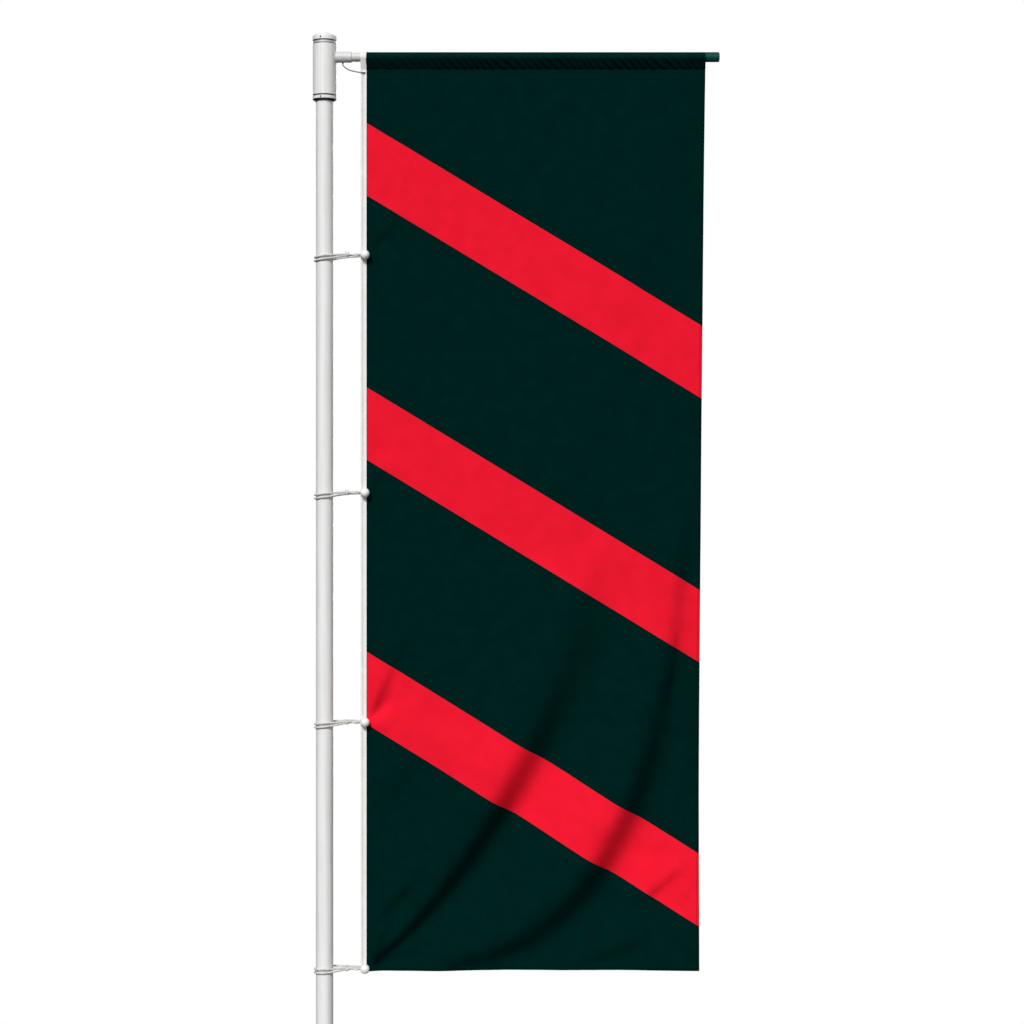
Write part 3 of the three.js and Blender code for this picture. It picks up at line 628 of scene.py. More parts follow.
def softened(name, node_name, finish, width):
    """A copy of a CAD node with its edges rounded, which stands for it."""
    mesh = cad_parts[node_name].data.copy()
    mesh.materials.clear()
    mesh.materials.append(finish)
    piece = linked(name, mesh)
    weld = piece.modifiers.new("weld", "WELD")
    weld.merge_threshold = 0.01 * MM
    bevel = piece.modifiers.new("edges", "BEVEL")
    bevel.width = width
    bevel.segments = 3
    bevel.angle_limit = math.radians(40)
    bevel.harden_normals = True
    settle(piece, "mast", node_name)


def repaint(node_name, finish):
    """Gives a CAD node that stays a finish."""
    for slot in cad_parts[node_name].material_slots:
        slot.material = finish


def make_foot(zinc, steel):
    softened("foot_plate", "base_plate", zinc, 1.5 * MM)
    for i in TIES:
        softened(f"foot_gusset_{i}", f"base_gusset_{i}", zinc, 1 * MM)
    tube_lip = 1.2 * MM
    make("mast_socket", ring_like("base_socket", POLE_R + FIT, tube_lip), zinc, "mast", "base_socket")
    make("foot_welds", foot_welds(*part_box("base_gusset_1")), zinc, "mast", smooth=60)

    for i in TIES:
        x, y, _ = middle_of(f"anchor_stud_{i}")
        at = Matrix.Translation((x, y, 0))
        nut_lo, nut_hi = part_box(f"anchor_nut_{i}")
        washer_lo, washer_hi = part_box(f"anchor_washer_{i}")
        flats = min(nut_hi.x - nut_lo.x, nut_hi.y - nut_lo.y)
        washer_r = (washer_hi.x - washer_lo.x) / 2
        bore = STUD_R + FIT
        washer = ring(bore, washer_r, washer_lo.z, washer_hi.z, 0.7 * MM, 64)
        nut = hex_nut(nut_lo.z, nut_hi.z, flats, bore)
        for kind, part, smooth in (("stud", stud(), 25), ("washer", washer, 35), ("nut", nut, 35)):
            make(f"foot_{kind}_{i}", placed(part, at), steel, "mast", f"anchor_{kind}_{i}", smooth=smooth)

    for i, turn in ((1, math.pi / 4), (2, math.pi * 5 / 4)):
        lo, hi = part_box(f"socket_screw_{i}")
        head = hex_nut(SOCKET_R, SOCKET_R + SCREW_HEAD, hi.z - lo.z, 0)
        shank = ring(0, SHANK_R, POLE_R, SOCKET_R + 3 * MM, FINE_EDGE, 32)
        at = Matrix.Rotation(turn, 4, "Z") @ along_x((lo.z + hi.z) / 2)
        screw = placed(gathered([head, shank]), at)
        make(f"foot_screw_{i}", screw, steel, "mast", f"socket_screw_{i}")


# ---- the mast and its turning head ----
BUSH_R = SLEEVE_R - 4.3 * MM
BUSH_BORE = POLE_R + 0.4 * MM
RING_GAP = 0.1 * MM  # between the sleeve, the bushes' flanges and the rings
SCREW_TURN = math.radians(-105)
SCREW_R = 3.8 * MM


def stepped_bush(node_name, step):
    """A bush whose wide flange, which ends at the step, shows outside the sleeve."""
    lo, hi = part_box(node_name)
    outer = [(hi.x, lo.z), (hi.x, step), (BUSH_R, step), (BUSH_R, hi.z)]
    if step > sleeve_hi.z:
        outer = [(BUSH_R, lo.z), (BUSH_R, step), (hi.x, step), (hi.x, hi.z)]
    return turned(rounded([(BUSH_BORE, lo.z), *outer, (BUSH_BORE, hi.z)], FINE_EDGE))


def grub_screw(node_name):
    """A small cup screw that stands a hair proud of its ring, with a recess for the key."""
    z = middle_of(node_name)[2]
    start = POLE_R + 2 * MM
    end = top_of("lower_collar").x + 0.5 * MM
    recess = 2 * MM
    floor = end - 0.4 * MM
    outline = rounded([(0, start), (SCREW_R, start), (SCREW_R, end), (recess, end),
                       (recess, floor), (0, floor)], 0.3 * MM)
    return placed(turned(outline, 24), Matrix.Rotation(SCREW_TURN, 4, "Z") @ along_x(z))


def domed_cap():
    """The head's cap: a short skirt under a shallow dome, with a soft shoulder."""
    lo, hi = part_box("head_cap")
    radius = hi.x
    top = hi.z - 4 * MM  # the photo's dome is this much flatter than the solid
    shoulder = top_of("cap_screw").z + 1.6 * MM
    inner = radius - 11 * MM
    wall = 4 * MM
    skirt = rounded([(inner, lo.z), (radius, lo.z), (radius, shoulder), (inner, shoulder)], 0.8 * MM)[:8]
    outside = quarter(radius, top - shoulder, 18, z=shoulder)[1:]
    inside = quarter(inner, top - wall - shoulder, 18, z=shoulder)[::-1]
    return turned(skirt + outside + inside)


def arm_root():
    """The arm's socket: a tube whose root flares and follows the round of the sleeve."""
    mouth = top_of("arm_socket").x
    radius = ARM_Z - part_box("stay_ferrule")[0].z - 3 * MM
    bore = ARM_R + FIT
    floor = SLEEVE_R + 9 * MM
    fillet = 6 * MM
    level = mouth - 0.6 * MM
    turns = turns_round(ROUND)

    def on_sleeve(r, out):
        spots = [(r * math.cos(a), r * math.sin(a)) for a in turns]
        return [(math.sqrt((SLEEVE_R - 0.2 * MM) ** 2 - y * y) + out, y, ARM_Z + z) for y, z in spots]

    def straight(r, x):
        return [(x, r * math.cos(a), ARM_Z + r * math.sin(a)) for a in turns]

    rings = [on_sleeve(1 * MM, 0), on_sleeve(radius, 0)]
    for k in range(7):
        a = math.pi / 2 * k / 6
        rings.append(on_sleeve(radius + fillet * 0.75 * (1 - math.sin(a)), fillet * (1 - math.cos(a))))
    saddle = on_sleeve(radius, 0)
    for share in (0.25, 0.5, 0.75):
        rings.append([tuple(Vector(p).lerp(Vector((level, p[1], p[2])), share)) for p in saddle])
    rings += [straight(radius, level), straight(radius - 0.2 * MM, mouth - 0.2 * MM),
              straight(radius - 0.6 * MM, mouth), straight(bore + 0.4 * MM, mouth),
              straight(bore, mouth - 0.4 * MM), straight(bore, floor), straight(1 * MM, floor)]
    return loft(rings, capped=True)


def make_head(coated, seamed, arm_coat, cast, black, seal, steel, blackened):
    def on_head(name, part, finish, node_name):
        make(name, part, finish, "rotor", node_name)

    sleeve = ring_like("rotor_sleeve", SLEEVE_R - 4 * MM, 0.8 * MM)
    on_head("sleeve_shell", sleeve, seamed, "rotor_sleeve")
    for side, step in (("lower", sleeve_lo.z - RING_GAP), ("upper", sleeve_hi.z + RING_GAP)):
        node_name = f"{side}_bearing_bush"
        on_head(f"{side}_bush", stepped_bush(node_name, step), black, node_name)
    collar = ring_like("lower_collar", POLE_R + 0.7 * MM, 1.4 * MM)
    on_head("collar_ring", collar, coated, "lower_collar")

    lo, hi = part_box("lower_wiper")
    wiper = rounded([(BUSH_BORE, lo.z), (BUSH_BORE + 3 * MM, lo.z), (hi.x, hi.z - 2 * MM), (hi.x, hi.z),
                     (BUSH_BORE, hi.z)], FINE_EDGE)
    on_head("wiper_seal", turned(wiper), black, "lower_wiper")

    lo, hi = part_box("top_ring")
    flange_lo = top_of("upper_bearing_bush").z + RING_GAP
    flange_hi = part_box("cap_seal")[0].z - RING_GAP
    upstand = hi.x - 8.5 * MM
    bore = upstand - 5 * MM
    top_ring = rounded([(bore, flange_lo), (hi.x, flange_lo), (hi.x, flange_hi), (upstand, flange_hi),
                        (upstand, hi.z), (bore, hi.z)], 0.8 * MM)
    on_head("head_ring", turned(top_ring), cast, "top_ring")
    on_head("seal_ring", ring_like("cap_seal", upstand + FIT, 1.2 * MM), seal, "cap_seal")
    on_head("domed_cap", domed_cap(), coated, "head_cap")
    for name, node_name in (("cap_grub", "cap_screw"), ("collar_grub", "collar_screw")):
        on_head(name, grub_screw(node_name), blackened, node_name)

    on_head("arm_root", arm_root(), arm_coat, "arm_socket")
    lo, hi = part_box("stay_ferrule")
    ferrule = ring(STAY_R + FIT, (hi.x - lo.x) / 2, lo.z, hi.z + 1 * MM, 0.9 * MM, 32)
    at = Matrix.Translation((middle_of("stay_ferrule")[0], 0, 0))
    on_head("stay_bushing", placed(ferrule, at), black, "stay_ferrule")
    repaint("arm_set_screw", steel)


def make_arm(coated, green):
    tube = ring(ARM_R - 2 * MM, ARM_R, 0, arm_hi.x - arm_lo.x, FINE_EDGE)
    make("arm_bar", placed(tube, along_x(ARM_Z, arm_lo.x)), coated, "arm", "arm_tube")
    tip_r = (tip_hi.z - tip_lo.z) / 2
    length = tip_hi.x - tip_lo.x
    floor = length - 5 * MM
    inner = ARM_R + FIT
    soft = 6 * MM
    outline = rounded([(inner, 0), (tip_r, 0), (tip_r, 4 * MM)], 0.5 * MM)[:8]
    outline += quarter(soft, soft, 8, tip_r - soft, length - soft)
    outline += [Vector((0, length)), Vector((0, floor)), Vector((inner, floor))]
    make("arm_tip", placed(turned(outline), along_x(ARM_Z, tip_lo.x)), green, "arm", "arm_tip_cap")


# ---- the banner ----
HEM = 13 * MM
CLOTH_HALF = 0.35 * MM
HEM_HALF = 0.9 * MM
GRID = 9 * MM
TAPE_WIDTH = tape_hi.x - tape_lo.x
TAPE_STITCH_U = 12.5 * MM
ROPE_TUBE_R = 5.5 * MM
FLY_PULL_IN = 26 * MM
PANEL_TUCK = 6 * MM  # how far the panel runs up inside the pocket's seam

# Each fold is a Bezier line in the flat cloth, in metres from the hoist edge and up from the hem, then
# its half width and its relief, each at the line's start, middle and end. The cloth falls away on the
# line's lower side.
FOLDS = [
    (((1.445, 2.3), (1.42, 0.7), (1.05, 0.1), (0.33, 0.012)), (0.035, 0.07, 0.04), (0.006, 0.104, 0.024)),
    (((1.065, 1.9), (1.025, 1.2), (0.43, 0.29), (0.015, 0.01)), (0.09, 0.063, 0.015), (0.008, 0.095, 0.022)),
    (((1.402, 1.52), (1.388, 1.37), (1.368, 1.25), (1.345, 1.12)),
     (0.01, 0.009, 0.014), (0.001, 0.008, 0.001)),
    (((1.475, 3.7), (1.33, 3.32), (1.19, 2.9), (1.165, 2.45)), (0.04, 0.07, 0.06), (0.002, 0.009, 0.002)),
    (((1.32, 0.165), (1.2, 0.1), (1.05, 0.05), (0.9, 0.02)), (0.03, 0.035, 0.02), (0.001, 0.022, 0.003)),
    (((1.43, 0.45), (1.37, 0.4), (1.28, 0.31), (1.18, 0.25)), (0.02, 0.025, 0.02), (0.002, 0.02, 0.002)),
    (((1.442, 0.93), (1.425, 0.8), (1.39, 0.62), (1.345, 0.5)), (0.015, 0.016, 0.015), (0.001, 0.006, 0.001)),
    (((1.462, 0.4), (1.46, 0.36), (1.445, 0.31), (1.432, 0.27)),
     (0.012, 0.012, 0.012), (0.001, 0.006, 0.001)),
    (((0.33, 0.52), (0.25, 0.4), (0.13, 0.27), (0.04, 0.2)), (0.03, 0.025, 0.012), (0.001, 0.02, 0.004)),
    (((0.23, 0.98), (0.19, 0.85), (0.13, 0.72), (0.05, 0.62)), (0.05, 0.04, 0.03), (0.001, 0.016, 0.002)),
    (((0.19, 0.33), (0.14, 0.23), (0.08, 0.12), (0.02, 0.03)), (0.02, 0.016, 0.008), (0.001, 0.012, 0.002)),
    (((0.93, 3.35), (0.8, 2.9), (0.78, 2.6), (0.76, 2.1)), (0.07, 0.08, 0.07), (0.001, 0.005, 0.001)),
    (((1.12, 2.7), (1.0, 2.3), (0.96, 1.9), (0.9, 1.5)), (0.07, 0.08, 0.07), (0.001, 0.007, 0.001)),
]
FOLD_RETURN = 5.5  # how many times wider the cloth's way back is than the fold

# How far each tie pulls creases up and to the side from its eyelet: reach, rise and relief.
TIE_CREASES = {
    1: [(0.165, 0.195, 0.012), (0.060, -0.050, 0.003)],
    2: [(0.120, 0.130, 0.007), (0.050, -0.040, 0.002)],
    3: [(0.150, 0.200, 0.018), (0.075, -0.065, 0.012), (0.210, 0.420, 0.014), (0.110, 0.310, 0.008)],
    4: [(0.110, 0.160, 0.012), (0.330, 0.120, 0.010)],
}


def bezier(line, steps=48):
    t = np.linspace(0, 1, steps)[:, None]
    a, b, c, d = (np.array(p) for p in line)
    return (1 - t) ** 3 * a + 3 * (1 - t) ** 2 * t * b + 3 * (1 - t) * t**2 * c + t**3 * d


def eased(x):
    x = np.clip(x, 0, 1)
    return x * x * (3 - 2 * x)


def fold_height(u, v, line, width, relief):
    """How far a fold lifts the cloth towards the front at each place."""
    path = bezier(line)
    nearest = np.full(u.shape, np.inf)
    side = np.ones(u.shape)
    along = np.zeros(u.shape)
    for i, (a, b) in enumerate(zip(path[:-1], path[1:])):
        d = b - a
        share = np.clip(((u - a[0]) * d[0] + (v - a[1]) * d[1]) / (d @ d), 0, 1)
        du, dv = u - a[0] - share * d[0], v - a[1] - share * d[1]
        far = du * du + dv * dv
        closer = far < nearest
        nearest = np.where(closer, far, nearest)
        side = np.where(closer, np.sign(d[0] * dv - d[1] * du), side)
        along = np.where(closer, (i + share) / (len(path) - 1), along)
    w = np.interp(along, (0, 0.5, 1), width)
    rise = np.interp(along, (0, 0.5, 1), relief) * eased(along / 0.12) * eased((1 - along) / 0.05)
    x = side * np.sqrt(nearest) / w
    return -rise * (np.tanh(x) - np.tanh(x / FOLD_RETURN))


def waves(u, v, terms):
    """A sum of gentle waves: height, waves a metre along u and v, and phase."""
    return sum(h * np.sin(2 * math.pi * (a * u + b * v) + p) for h, a, b, p in terms)


def flag_height(u, v):
    """How far the cloth lies in front of the flag's plane at each place in the flat cloth."""
    height = np.zeros(u.shape)
    for fold in FOLDS:
        height += fold_height(u, v, *fold)
    for i in TIES:
        at = (EYELET_X - HOIST_X, middle_of(f"tie_{i}_ball")[2] - HEM_Z)
        for reach, rise, relief in TIE_CREASES[i]:
            far = (at[0] + reach, at[1] + rise)
            line = (far, (at[0] + 0.7 * reach, at[1] + 0.6 * rise),
                    (at[0] + 0.35 * reach, at[1] + 0.28 * rise), at)
            widths = (0.035, 0.020, 0.007)
            height += fold_height(u, v, line, widths, (0.001, relief, relief / 3))
    billow = waves(u, v, [(0.004, 0.5, 0.21, 0.4), (0.003, 0.9, -0.33, 1.9), (0.0015, 1.7, 0.6, 4.0)])
    crumple = waves(u, v, [(0.0006, 7.1, 1.3, 0.3), (0.0005, 5.3, -3.1, 2.1), (0.0003, 13.0, 4.7, 5.1)])
    pleats = 0.0007 * np.sin(2 * math.pi * (u * 11 + 0.4 * np.sin(9 * u))) * np.exp(-(PANEL_DROP - v) / 0.09)
    held_top = eased((PANEL_DROP - v) / 0.12)
    held_hoist = eased((u - TAPE_WIDTH) / 0.05)
    edge = eased((u - 1.2) / 0.3) * 0.006 * np.sin(2 * math.pi * (v / 1.35 + 0.1))
    return (height + billow + crumple + edge) * held_top * held_hoist + pleats * held_hoist


def fly_x(v):
    """Where the fly edge lies, which the folds draw in towards the hem."""
    below = (PANEL_DROP - v) / PANEL_DROP
    return panel_hi.x - FLY_PULL_IN * (1 - (1 - below) ** 2)


def cloth_sheet(u, v, spots, half):
    """A thin closed sheet: points, faces and flat places from a grid of mid-surface points."""
    across = np.gradient(spots, axis=1)
    up = np.gradient(spots, axis=0)
    normal = np.cross(across, up)
    normal /= np.linalg.norm(normal, axis=2)[:, :, None]
    rows, columns = u.shape
    front = (spots + normal * half[:, :, None]).reshape(-1, 3)
    back = (spots - normal * half[:, :, None]).reshape(-1, 3)
    count = rows * columns
    index = np.arange(count).reshape(rows, columns)
    a, b, c, d = index[:-1, :-1], index[:-1, 1:], index[1:, 1:], index[1:, :-1]
    quads = np.stack([a, b, c, d], -1).reshape(-1, 4)
    faces = [*map(tuple, quads.tolist()), *map(tuple, (quads[:, ::-1] + count).tolist())]
    rim = [*index[0], *index[1:, -1], *index[-1, -2::-1], *index[-2:0:-1, 0]]
    for i, j in zip(rim, rim[1:] + rim[:1]):
        faces.append((int(j), int(i), int(i) + count, int(j) + count))
    flat = np.stack([u, v], -1).reshape(-1, 2)
    return np.vstack([front, back]), faces, np.vstack([flat, flat])


def make_cloth(name, sheet, finish, *nodes):
    """A cloth piece with its flat places as the UV map cut."""
    points, faces, flat = sheet
    mesh = bpy.data.meshes.new(name)
    mesh.from_pydata(points.tolist(), [], faces)
    corners = np.zeros(len(mesh.loops), int)
    mesh.loops.foreach_get("vertex_index", corners)
    layer = mesh.uv_layers.new(name="cut")
    layer.uv.foreach_set("vector", flat[corners].astype(np.float32).ravel())
    mesh.shade_smooth()
    mesh.set_sharp_from_angle(angle=math.radians(60))
    mesh.materials.append(finish)
    piece = linked(name, mesh)
    settle(piece, "rotor", *nodes)
    return piece


def stations(start, end, step, breaks=()):
    """Places from start to end about a step apart, with pairs of close ones at the breaks."""
    places = list(np.linspace(start, end, max(2, round((end - start) / step) + 1)))
    for spot in breaks:
        places = [p for p in places if abs(p - spot) > 0.3 * step or p in (start, end)]
        places += [spot - 0.4 * MM, spot + 0.4 * MM]
    return np.array(sorted(places))


def flag_panel():
    """The panel from the hem to the pocket's seam, with thicker turned hems."""
    columns = stations(CLOTH_X - HOIST_X, FLAG_WIDTH, GRID, [FLAG_WIDTH - HEM])
    rows = stations(0, PANEL_DROP + PANEL_TUCK, GRID, [HEM])
    u, v = np.meshgrid(columns, rows)
    share = (u - columns[0]) / (columns[-1] - columns[0])
    x = CLOTH_X + share * (fly_x(v) - CLOTH_X)
    height = flag_height(u, v)
    spots = np.stack([x, -height, HEM_Z + v], -1)
    hem = np.maximum(eased((u - FLAG_WIDTH + HEM) / (0.4 * MM) + 0.5), eased((HEM - v) / (0.4 * MM) + 0.5))
    half = CLOTH_HALF + (HEM_HALF - CLOTH_HALF) * hem
    return cloth_sheet(u, v, spots, half)


def teardrop(radius, foot, places):
    """Y and Z round the pocket, from its front foot over the arm to its back foot."""
    low = math.radians(20)
    y_foot = -foot
    wall = math.hypot(radius * math.cos(low) - foot, POCKET_Z - radius * math.sin(low) - SEAM_Z)
    over = radius * (math.pi + 2 * low)
    run = places * (2 * wall + over)
    angle = math.pi + low - (run - wall) / radius
    y = radius * np.cos(angle)
    z = POCKET_Z + radius * np.sin(angle)
    front = run < wall
    back = run > wall + over
    share = np.where(front, run / wall, (2 * wall + over - run) / wall)
    straight_y = y_foot + share * (-radius * math.cos(low) - y_foot)
    straight_z = SEAM_Z + share * (POCKET_Z - radius * math.sin(low) - SEAM_Z)
    y = np.where(front, straight_y, np.where(back, -straight_y, y))
    z = np.where(front | back, straight_z, z)
    return y, z, 2 * wall + over


GATHER_PITCH = 0.036
GATHER_SLANT = 0.8
GATHER_RELIEF = 0.0120


def gathers(x, z, front):
    """Slanting gathers in the pocket's walls, sharp at their ridges and uneven in pitch and depth."""
    wander = 0.012 * np.sin(x * 11.0) + 0.008 * np.sin(x * 27.0 + 1.0)
    phase = (x + GATHER_SLANT * (z - SEAM_Z) + wander) / GATHER_PITCH
    ridge = (1 - np.abs(np.sin(math.pi * phase))) ** 1.6
    strength = 0.35 + 0.65 * eased((x - 0.30) / 0.4) * (0.75 + 0.25 * np.sin(x * 9.0 + 2.0))
    return GATHER_RELIEF * ridge * strength * np.where(front, 1.0, 0.7)


def pocket(x_from, x_to, radius, foot, half, ruffled, step, around=56):
    """A sleeve of cloth round the arm, closed at its seam, as a thin sheet."""
    columns = stations(x_from, x_to, step)
    places = np.linspace(0, 1, around)
    x, place = np.meshgrid(columns, places)
    y, z, girth = teardrop(radius, foot, place)
    if ruffled:
        low = eased((POCKET_Z + 0.3 * radius - z) / (0.9 * radius)) * eased((z - SEAM_Z) / 0.010)
        push = gathers(x, z, y < 0) * low
        y = y + np.sign(y) * push
        z = z - 0.4 * push
    spots = np.stack([x, y, z], -1)
    return cloth_sheet(x - HOIST_X, place * girth, spots, np.full(x.shape, half))


def hoist_tape():
    """The tape down the hoist: a channel for the rope, then a flat strip sewn to the cloth."""
    count = 16
    meet = math.asin(1.5 * MM / ROPE_TUBE_R)
    turns = np.linspace(meet, 2 * math.pi - meet, count)
    outline = [(ROPE_TUBE_R + ROPE_TUBE_R * math.cos(a), ROPE_TUBE_R * math.sin(a)) for a in turns]
    strip = np.linspace(2 * ROPE_TUBE_R, TAPE_WIDTH + 1.5 * MM, 6)
    thin = 1.1 * MM
    outline += [(x, -thin) for x in strip] + [(x, thin) for x in strip[::-1]]
    outline = np.array(outline)
    rows = np.arange(HEM_Z, SEAM_Z + 2 * MM, 12 * MM)
    lean = 0.7 * MM * np.sin(rows * 5.3) + 0.5 * MM * np.sin(rows * 13.7 + 1)
    swell = 1 + 0.025 * np.sin(rows * 41) + 0.02 * np.sin(rows * 97 + 2)
    girth = run_along(outline)
    rings, flat = [], []
    for z, off, big in zip(rows, lean, swell):
        rings.append([(HOIST_X + x, y * big + off * (1 - x / TAPE_WIDTH) ** 2, z) for x, y in outline])
        flat += [(x if y < 0 else g, z - HEM_Z) for (x, y), g in zip(outline, girth)]
    points, faces = loft(rings, capped=True)
    return np.array(points), faces, np.array(flat)


def make_banner(printed, plain, tape_finish, cord_finish, steel):
    panel = make_cloth("banner_panel", flag_panel(), printed, "flag_panel")
    radius = ARM_R + 1.6 * MM
    sleeve = pocket(CLOTH_X, FLY_X, radius, 1.3 * MM, CLOTH_HALF, True, 4 * MM)
    sleeve = make_cloth("banner_pocket", sleeve, plain, "flag_pocket")
    tape = make_cloth("hoist_webbing", hoist_tape(), tape_finish, "hoist_tape")
    band = pocket(HOIST_X, CLOTH_X + 1 * MM, radius + 0.3 * MM, 1.9 * MM, 0.6 * MM, False, 3 * MM)
    band = make_cloth("hoist_webbing_top", band, tape_finish)

    for i in range(1, 6):
        lo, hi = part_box(f"hoist_eyelet_{i}")
        flange = (hi.x - lo.x) / 2
        hole = 3.4 * MM
        lip = hi.y
        neck = hole + 0.9 * MM
        outline = [(hole, -lip), (flange, -lip), (flange, -lip + 0.9 * MM), (neck, -lip + 1.1 * MM),
                   (neck, lip - 1.1 * MM), (flange, lip - 0.9 * MM), (flange, lip), (hole, lip)]
        at = Matrix.Translation((EYELET_X, 0, (lo.z + hi.z) / 2)) @ Matrix.Rotation(math.pi / 2, 4, "X")
        eyelet = placed(turned(rounded(outline, 0.6 * MM), 48), at)
        make(f"eyelet_ring_{i}", eyelet, steel, "rotor", f"hoist_eyelet_{i}")

    lo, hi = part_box("hoist_rope")
    middle = middle_of("hoist_rope")[0]
    path = np.array([(middle, 0, z) for z in np.arange(lo.z, hi.z, 6 * MM)])
    rope = cord_tube(path, (hi.x - lo.x) / 2, 12, braid=0, lay=0.1, lay_pitch=0.03)
    rope = make("hoist_line", rope, cord_finish, "rotor", "hoist_rope", hard=False)


# ---- the ball ties ----
STRAND_R = 4 * MM
RING_R = POLE_R + 0.8 * MM + STRAND_R
KNOT = (0.100, -0.018)
PITCH_ROUND = 15 * MM
PITCH_KNOT = 5 * MM
TILTS = {1: 7.0, 2: 7.0, 3: 6.5, 4: 4.0}


def touch_angle(x, y, side):
    """Where a line from a point outside touches the ring round the mast."""
    return math.atan2(y, x) + side * math.acos(RING_R / math.hypot(x, y))


def strand_route(side, slope):
    """One strand from the back of the eyelet, round the mast and forward to the knot."""
    back = (EYELET_X, ROPE_TUBE_R + STRAND_R)
    start = touch_angle(*back, 1)
    end = touch_angle(*KNOT, -1) + 2 * math.pi
    route = [(*back, PITCH_KNOT / 2)]
    first = (RING_R * math.cos(start), RING_R * math.sin(start))
    route.append(((back[0] + first[0]) / 2, (back[1] + first[1]) / 2, PITCH_ROUND / 3))
    for a in np.linspace(start, end, 9):
        route.append((RING_R * math.cos(a), RING_R * math.sin(a), PITCH_ROUND / 2))
    route.append((*KNOT, PITCH_KNOT / 2))
    return [(x, y, side * apart - slope * max(0, KNOT[0] - x)) for x, y, apart in route]


def coil(middle, direction, radius, turns, length):
    """A helix about a line through the middle."""
    ahead = Vector(direction).normalized()
    side = ahead.cross(Vector((0, 0, 1))).normalized()
    up = ahead.cross(side)
    path = []
    for t in np.linspace(-0.5, 0.5, int(24 * turns) + 1):
        a = 2 * math.pi * turns * t
        path.append(Vector(middle) + ahead * (t * length) + (side * math.cos(a) + up * math.sin(a)) * radius)
    return np.array(path)


def tie_cord(ball, slope):
    """The doubled cord of a tie, about its own height: two strands, the knot, and the neck to the ball."""
    step = 1.3 * MM
    parts = []
    for side in (1, -1):
        path = smooth_path(strand_route(side, slope), step)
        run = np.linspace(0, 1, len(path))
        twisted = 0.28 * eased((run - 0.80) / 0.06) if side < 0 else 0.0
        parts.append(cord_tube(path, STRAND_R, lay=twisted))
    knot = Vector((*KNOT, 0))
    neck_end = ball + Vector((-0.55, 0.12, 0)) * BALL_R
    along = neck_end - knot
    for phase in (0, math.pi):
        path = []
        for t in np.linspace(-0.05, 1, 48):
            a = phase + math.pi / 2 + 1.6 * math.pi * t
            off = Vector((0, math.cos(a), math.sin(a))) * 3.0 * MM
            path.append(knot + along * float(t) + off)
        parts.append(cord_tube(np.array(path), 3.5 * MM))
    wraps = coil(knot, along, 6.0 * MM, 2.6, 9 * MM)
    parts.append(cord_tube(wraps, 2.7 * MM, 14, lay=0.2))
    for lean, rise, reach in ((-0.6, 1.0, 17), (0.45, 1.0, 15), (-0.2, -1.0, 13)):
        tail = Vector((lean, -0.3, rise)).normalized()
        path = [knot + tail * (s * MM) for s in np.linspace(3, reach, 8)]
        size = np.linspace(2.4, 1.5, 8) * MM
        parts.append(cord_tube(np.array(path), size, 10, lay=0.3, lay_pitch=0.008))
    through = [(EYELET_X, y, 0) for y in np.linspace(ball.y, ROPE_TUBE_R + STRAND_R, 12)]
    parts.append(cord_tube(np.array(through), 3.1 * MM, 14))
    return gathered(parts)


def tie_ball(at):
    """A moulded ball: a fine parting line round it, and a dished hole where the cord goes in."""
    towards = (Vector((*KNOT, 0)) - Vector((at.x, at.y, 0))).normalized()
    dish = math.radians(31)
    floor = BALL_R * math.cos(dish) - 6 * MM
    outline = [(0, floor), (7.5 * MM, floor)]
    steps = 40
    for k in range(steps + 1):
        a = dish + (math.pi - dish) * k / steps
        seam = 0.12 * MM if abs(a - math.pi / 2) < 0.02 else 0.0
        outline.append(((BALL_R + seam) * math.sin(a) if k < steps else 0, (BALL_R + seam) * math.cos(a)))
    turn = towards.to_track_quat("Z", "Y").to_matrix().to_4x4()
    return placed(turned(outline, 64), Matrix.Translation(at) @ turn)


def make_ties(cord_finish, ball_finish):
    for i in TIES:
        lo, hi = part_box(f"tie_{i}_ball")
        at = (lo + hi) / 2
        flat_at = Vector((at.x, at.y, 0))
        cord = tie_cord(flat_at, math.tan(math.radians(TILTS[i])))
        cord = placed(cord, Matrix.Translation((0, 0, at.z)))
        make(f"elastic_{i}", cord, cord_finish, "rotor", f"tie_{i}_cord", smooth=70, hard=False)
        make(f"ball_{i}", tie_ball(at), ball_finish, "rotor", f"tie_{i}_ball", hard=False)


# ---- floor and light ----
FLOOR_R = 2.6


def make_stage():
    """A pale round floor that fades out, so that the picture's ground stays plain."""
    mesh = bpy.data.meshes.new("floor")
    rim = [(FLOOR_R * math.cos(a), FLOOR_R * math.sin(a), 0) for a in turns_round(ROUND)]
    mesh.from_pydata(rim, [], [tuple(range(ROUND))])
    floor = linked("floor", mesh)
    p = Finish("floor", Roughness=0.8)
    base = p.blended(p.patchy(3, 4), (0.83, 0.83, 0.83), (0.80, 0.80, 0.81))
    far = p.node("VectorMath", {0: p.where}, output=1, operation="LENGTH")
    fading = p.graded(far, 1, 0, 0.4 * FLOOR_R, FLOOR_R)
    mesh.materials.append(p.done(Base_Color=base, Alpha=fading))


def make_sun(name, azimuth, elevation, strength, spread):
    """A soft light from far off. Azimuth 0 comes from the camera's side, and 90 from +X."""
    data = bpy.data.lights.new(name, "SUN")
    data.energy = strength
    data.angle = math.radians(spread)
    light = linked(name, data)
    a, e = math.radians(azimuth), math.radians(elevation)
    towards = Vector((math.sin(a) * math.cos(e), -math.cos(a) * math.cos(e), math.sin(e)))
    light.rotation_euler = towards.to_track_quat("Z", "Y").to_euler()


BRIGHT_SIDE = (0.25, -0.77, 0.57)  # the studio's walls are brightest in front and above


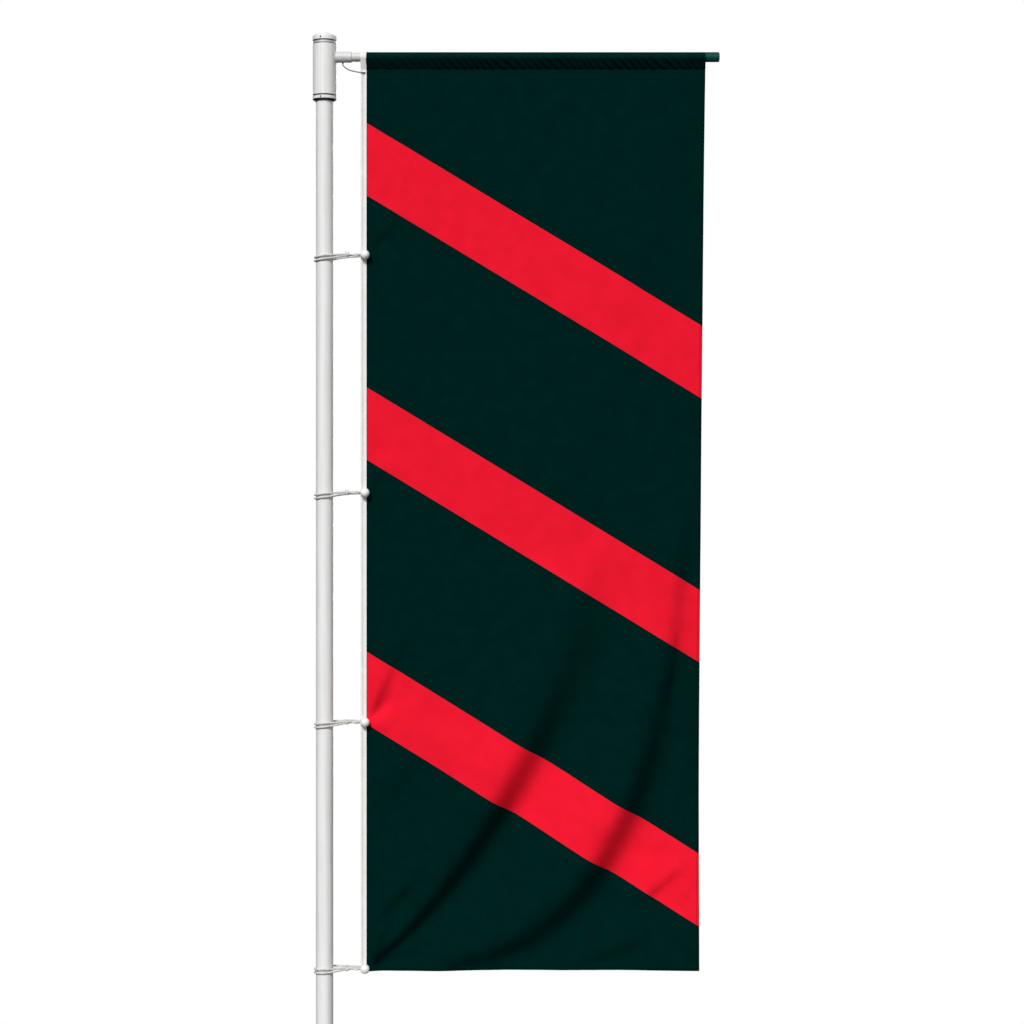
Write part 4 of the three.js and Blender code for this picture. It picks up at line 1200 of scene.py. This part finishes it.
def make_light():
    world = bpy.data.worlds.new("studio")
    bpy.context.scene.world = world
    world.use_nodes = True
    world.node_tree.nodes.clear()
    p = Paint(world.node_tree)
    facing = p.node("VectorMath", {0: p.node("TexCoord"), 1: BRIGHT_SIDE}, output=1, operation="DOT_PRODUCT")
    sky = p.blended(p.graded(facing, 0, 1, 0.25, 0.95), (0.035, 0.035, 0.035), (0.50, 0.50, 0.50))
    colour = p.blended(p.node("LightPath"), sky, (1, 1, 1))
    surface = p.node("Background", {"Color": colour, "Strength": 1.0})
    out = p.tree.nodes.new("ShaderNodeOutputWorld")
    p.tree.links.new(surface, out.inputs["Surface"])
    make_sun("key", -19, 36, 3.0, 14)
    make_sun("fill", 8, 12, 0.15, 60)
    make_sun("rim", 125, 15, 0.35, 20)
    make_sun("back", 178, 12, 1.7, 40)
    scene = bpy.context.scene
    scene.view_settings.view_transform = "Standard"
    scene.view_settings.look = "None"


# ---- the whole scene ----
make_camera()
# The stay's cord is given a darker grey than the ties' cord.
make_stay(braided_cord("dark_grey_cord", (0.26, 0.26, 0.25), (0.17, 0.17, 0.165)))
cord_finish = braided_cord("braided_cord", (0.66, 0.66, 0.645), (0.50, 0.495, 0.48))

coated = coated_metal("powder_coat")
seamed = coated_metal("powder_coat_seamed", seam_x=SLEEVE_R * math.cos(SCREW_TURN))
arm_coat = coated_metal("powder_coat_arm", (0.64, 0.64, 0.635), (0.54, 0.54, 0.53))
cast = bare_metal("cast_aluminium", "cast_grey", (0.60, 0.61, 0.62), (0.48, 0.48, 0.49), 0.42, 0.3, 30)
blackened = bare_metal("blackened_steel", "stainless", (0.012, 0.012, 0.013), (0.04,) * 3, 0.5, 0.2, 8)
steel = bare_metal("stainless_steel", "stainless", (0.60, 0.60, 0.61), (0.45,) * 3, 0.28, 1.0, 8)
zinc = galvanised_steel()
seal = moulded_plastic("seal_rubber", "black_plastic", (0.030, 0.030, 0.031), (0.06,) * 3, 0.36, 1.0)
black = moulded_plastic("moulded_black", "black_plastic", (0.010, 0.010, 0.011), (0.05,) * 3, 0.42)
tip_green = moulded_plastic("green_plastic", "tip_plastic", (0.0015, 0.060, 0.053), (0.006, 0.08, 0.07),
                            0.5, gloss=0.12)
ball_white = moulded_plastic("ball_plastic", "ball", (0.86, 0.86, 0.855), (0.74, 0.74, 0.73), 0.3, 0.2)
tape_finish = webbing()

make_foot(zinc, steel)
make("mast_tube", ring_like("pole_tube", POLE_R - MAST_WALL, FINE_EDGE), coated, "mast", "pole_tube")
make_head(coated, seamed, arm_coat, cast, black, seal, steel, blackened)
make_arm(arm_coat, tip_green)
make_banner(flag_cloth("printed_flag_cloth", True), flag_cloth("plain_flag_cloth", False), tape_finish,
            cord_finish, steel)
make_ties(cord_finish, ball_white)
for node_name in ("pole_top_plug", "retaining_washer", "retaining_bolt"):
    repaint(node_name, steel)
repaint("thrust_washer", black)
make_stage()
make_light()
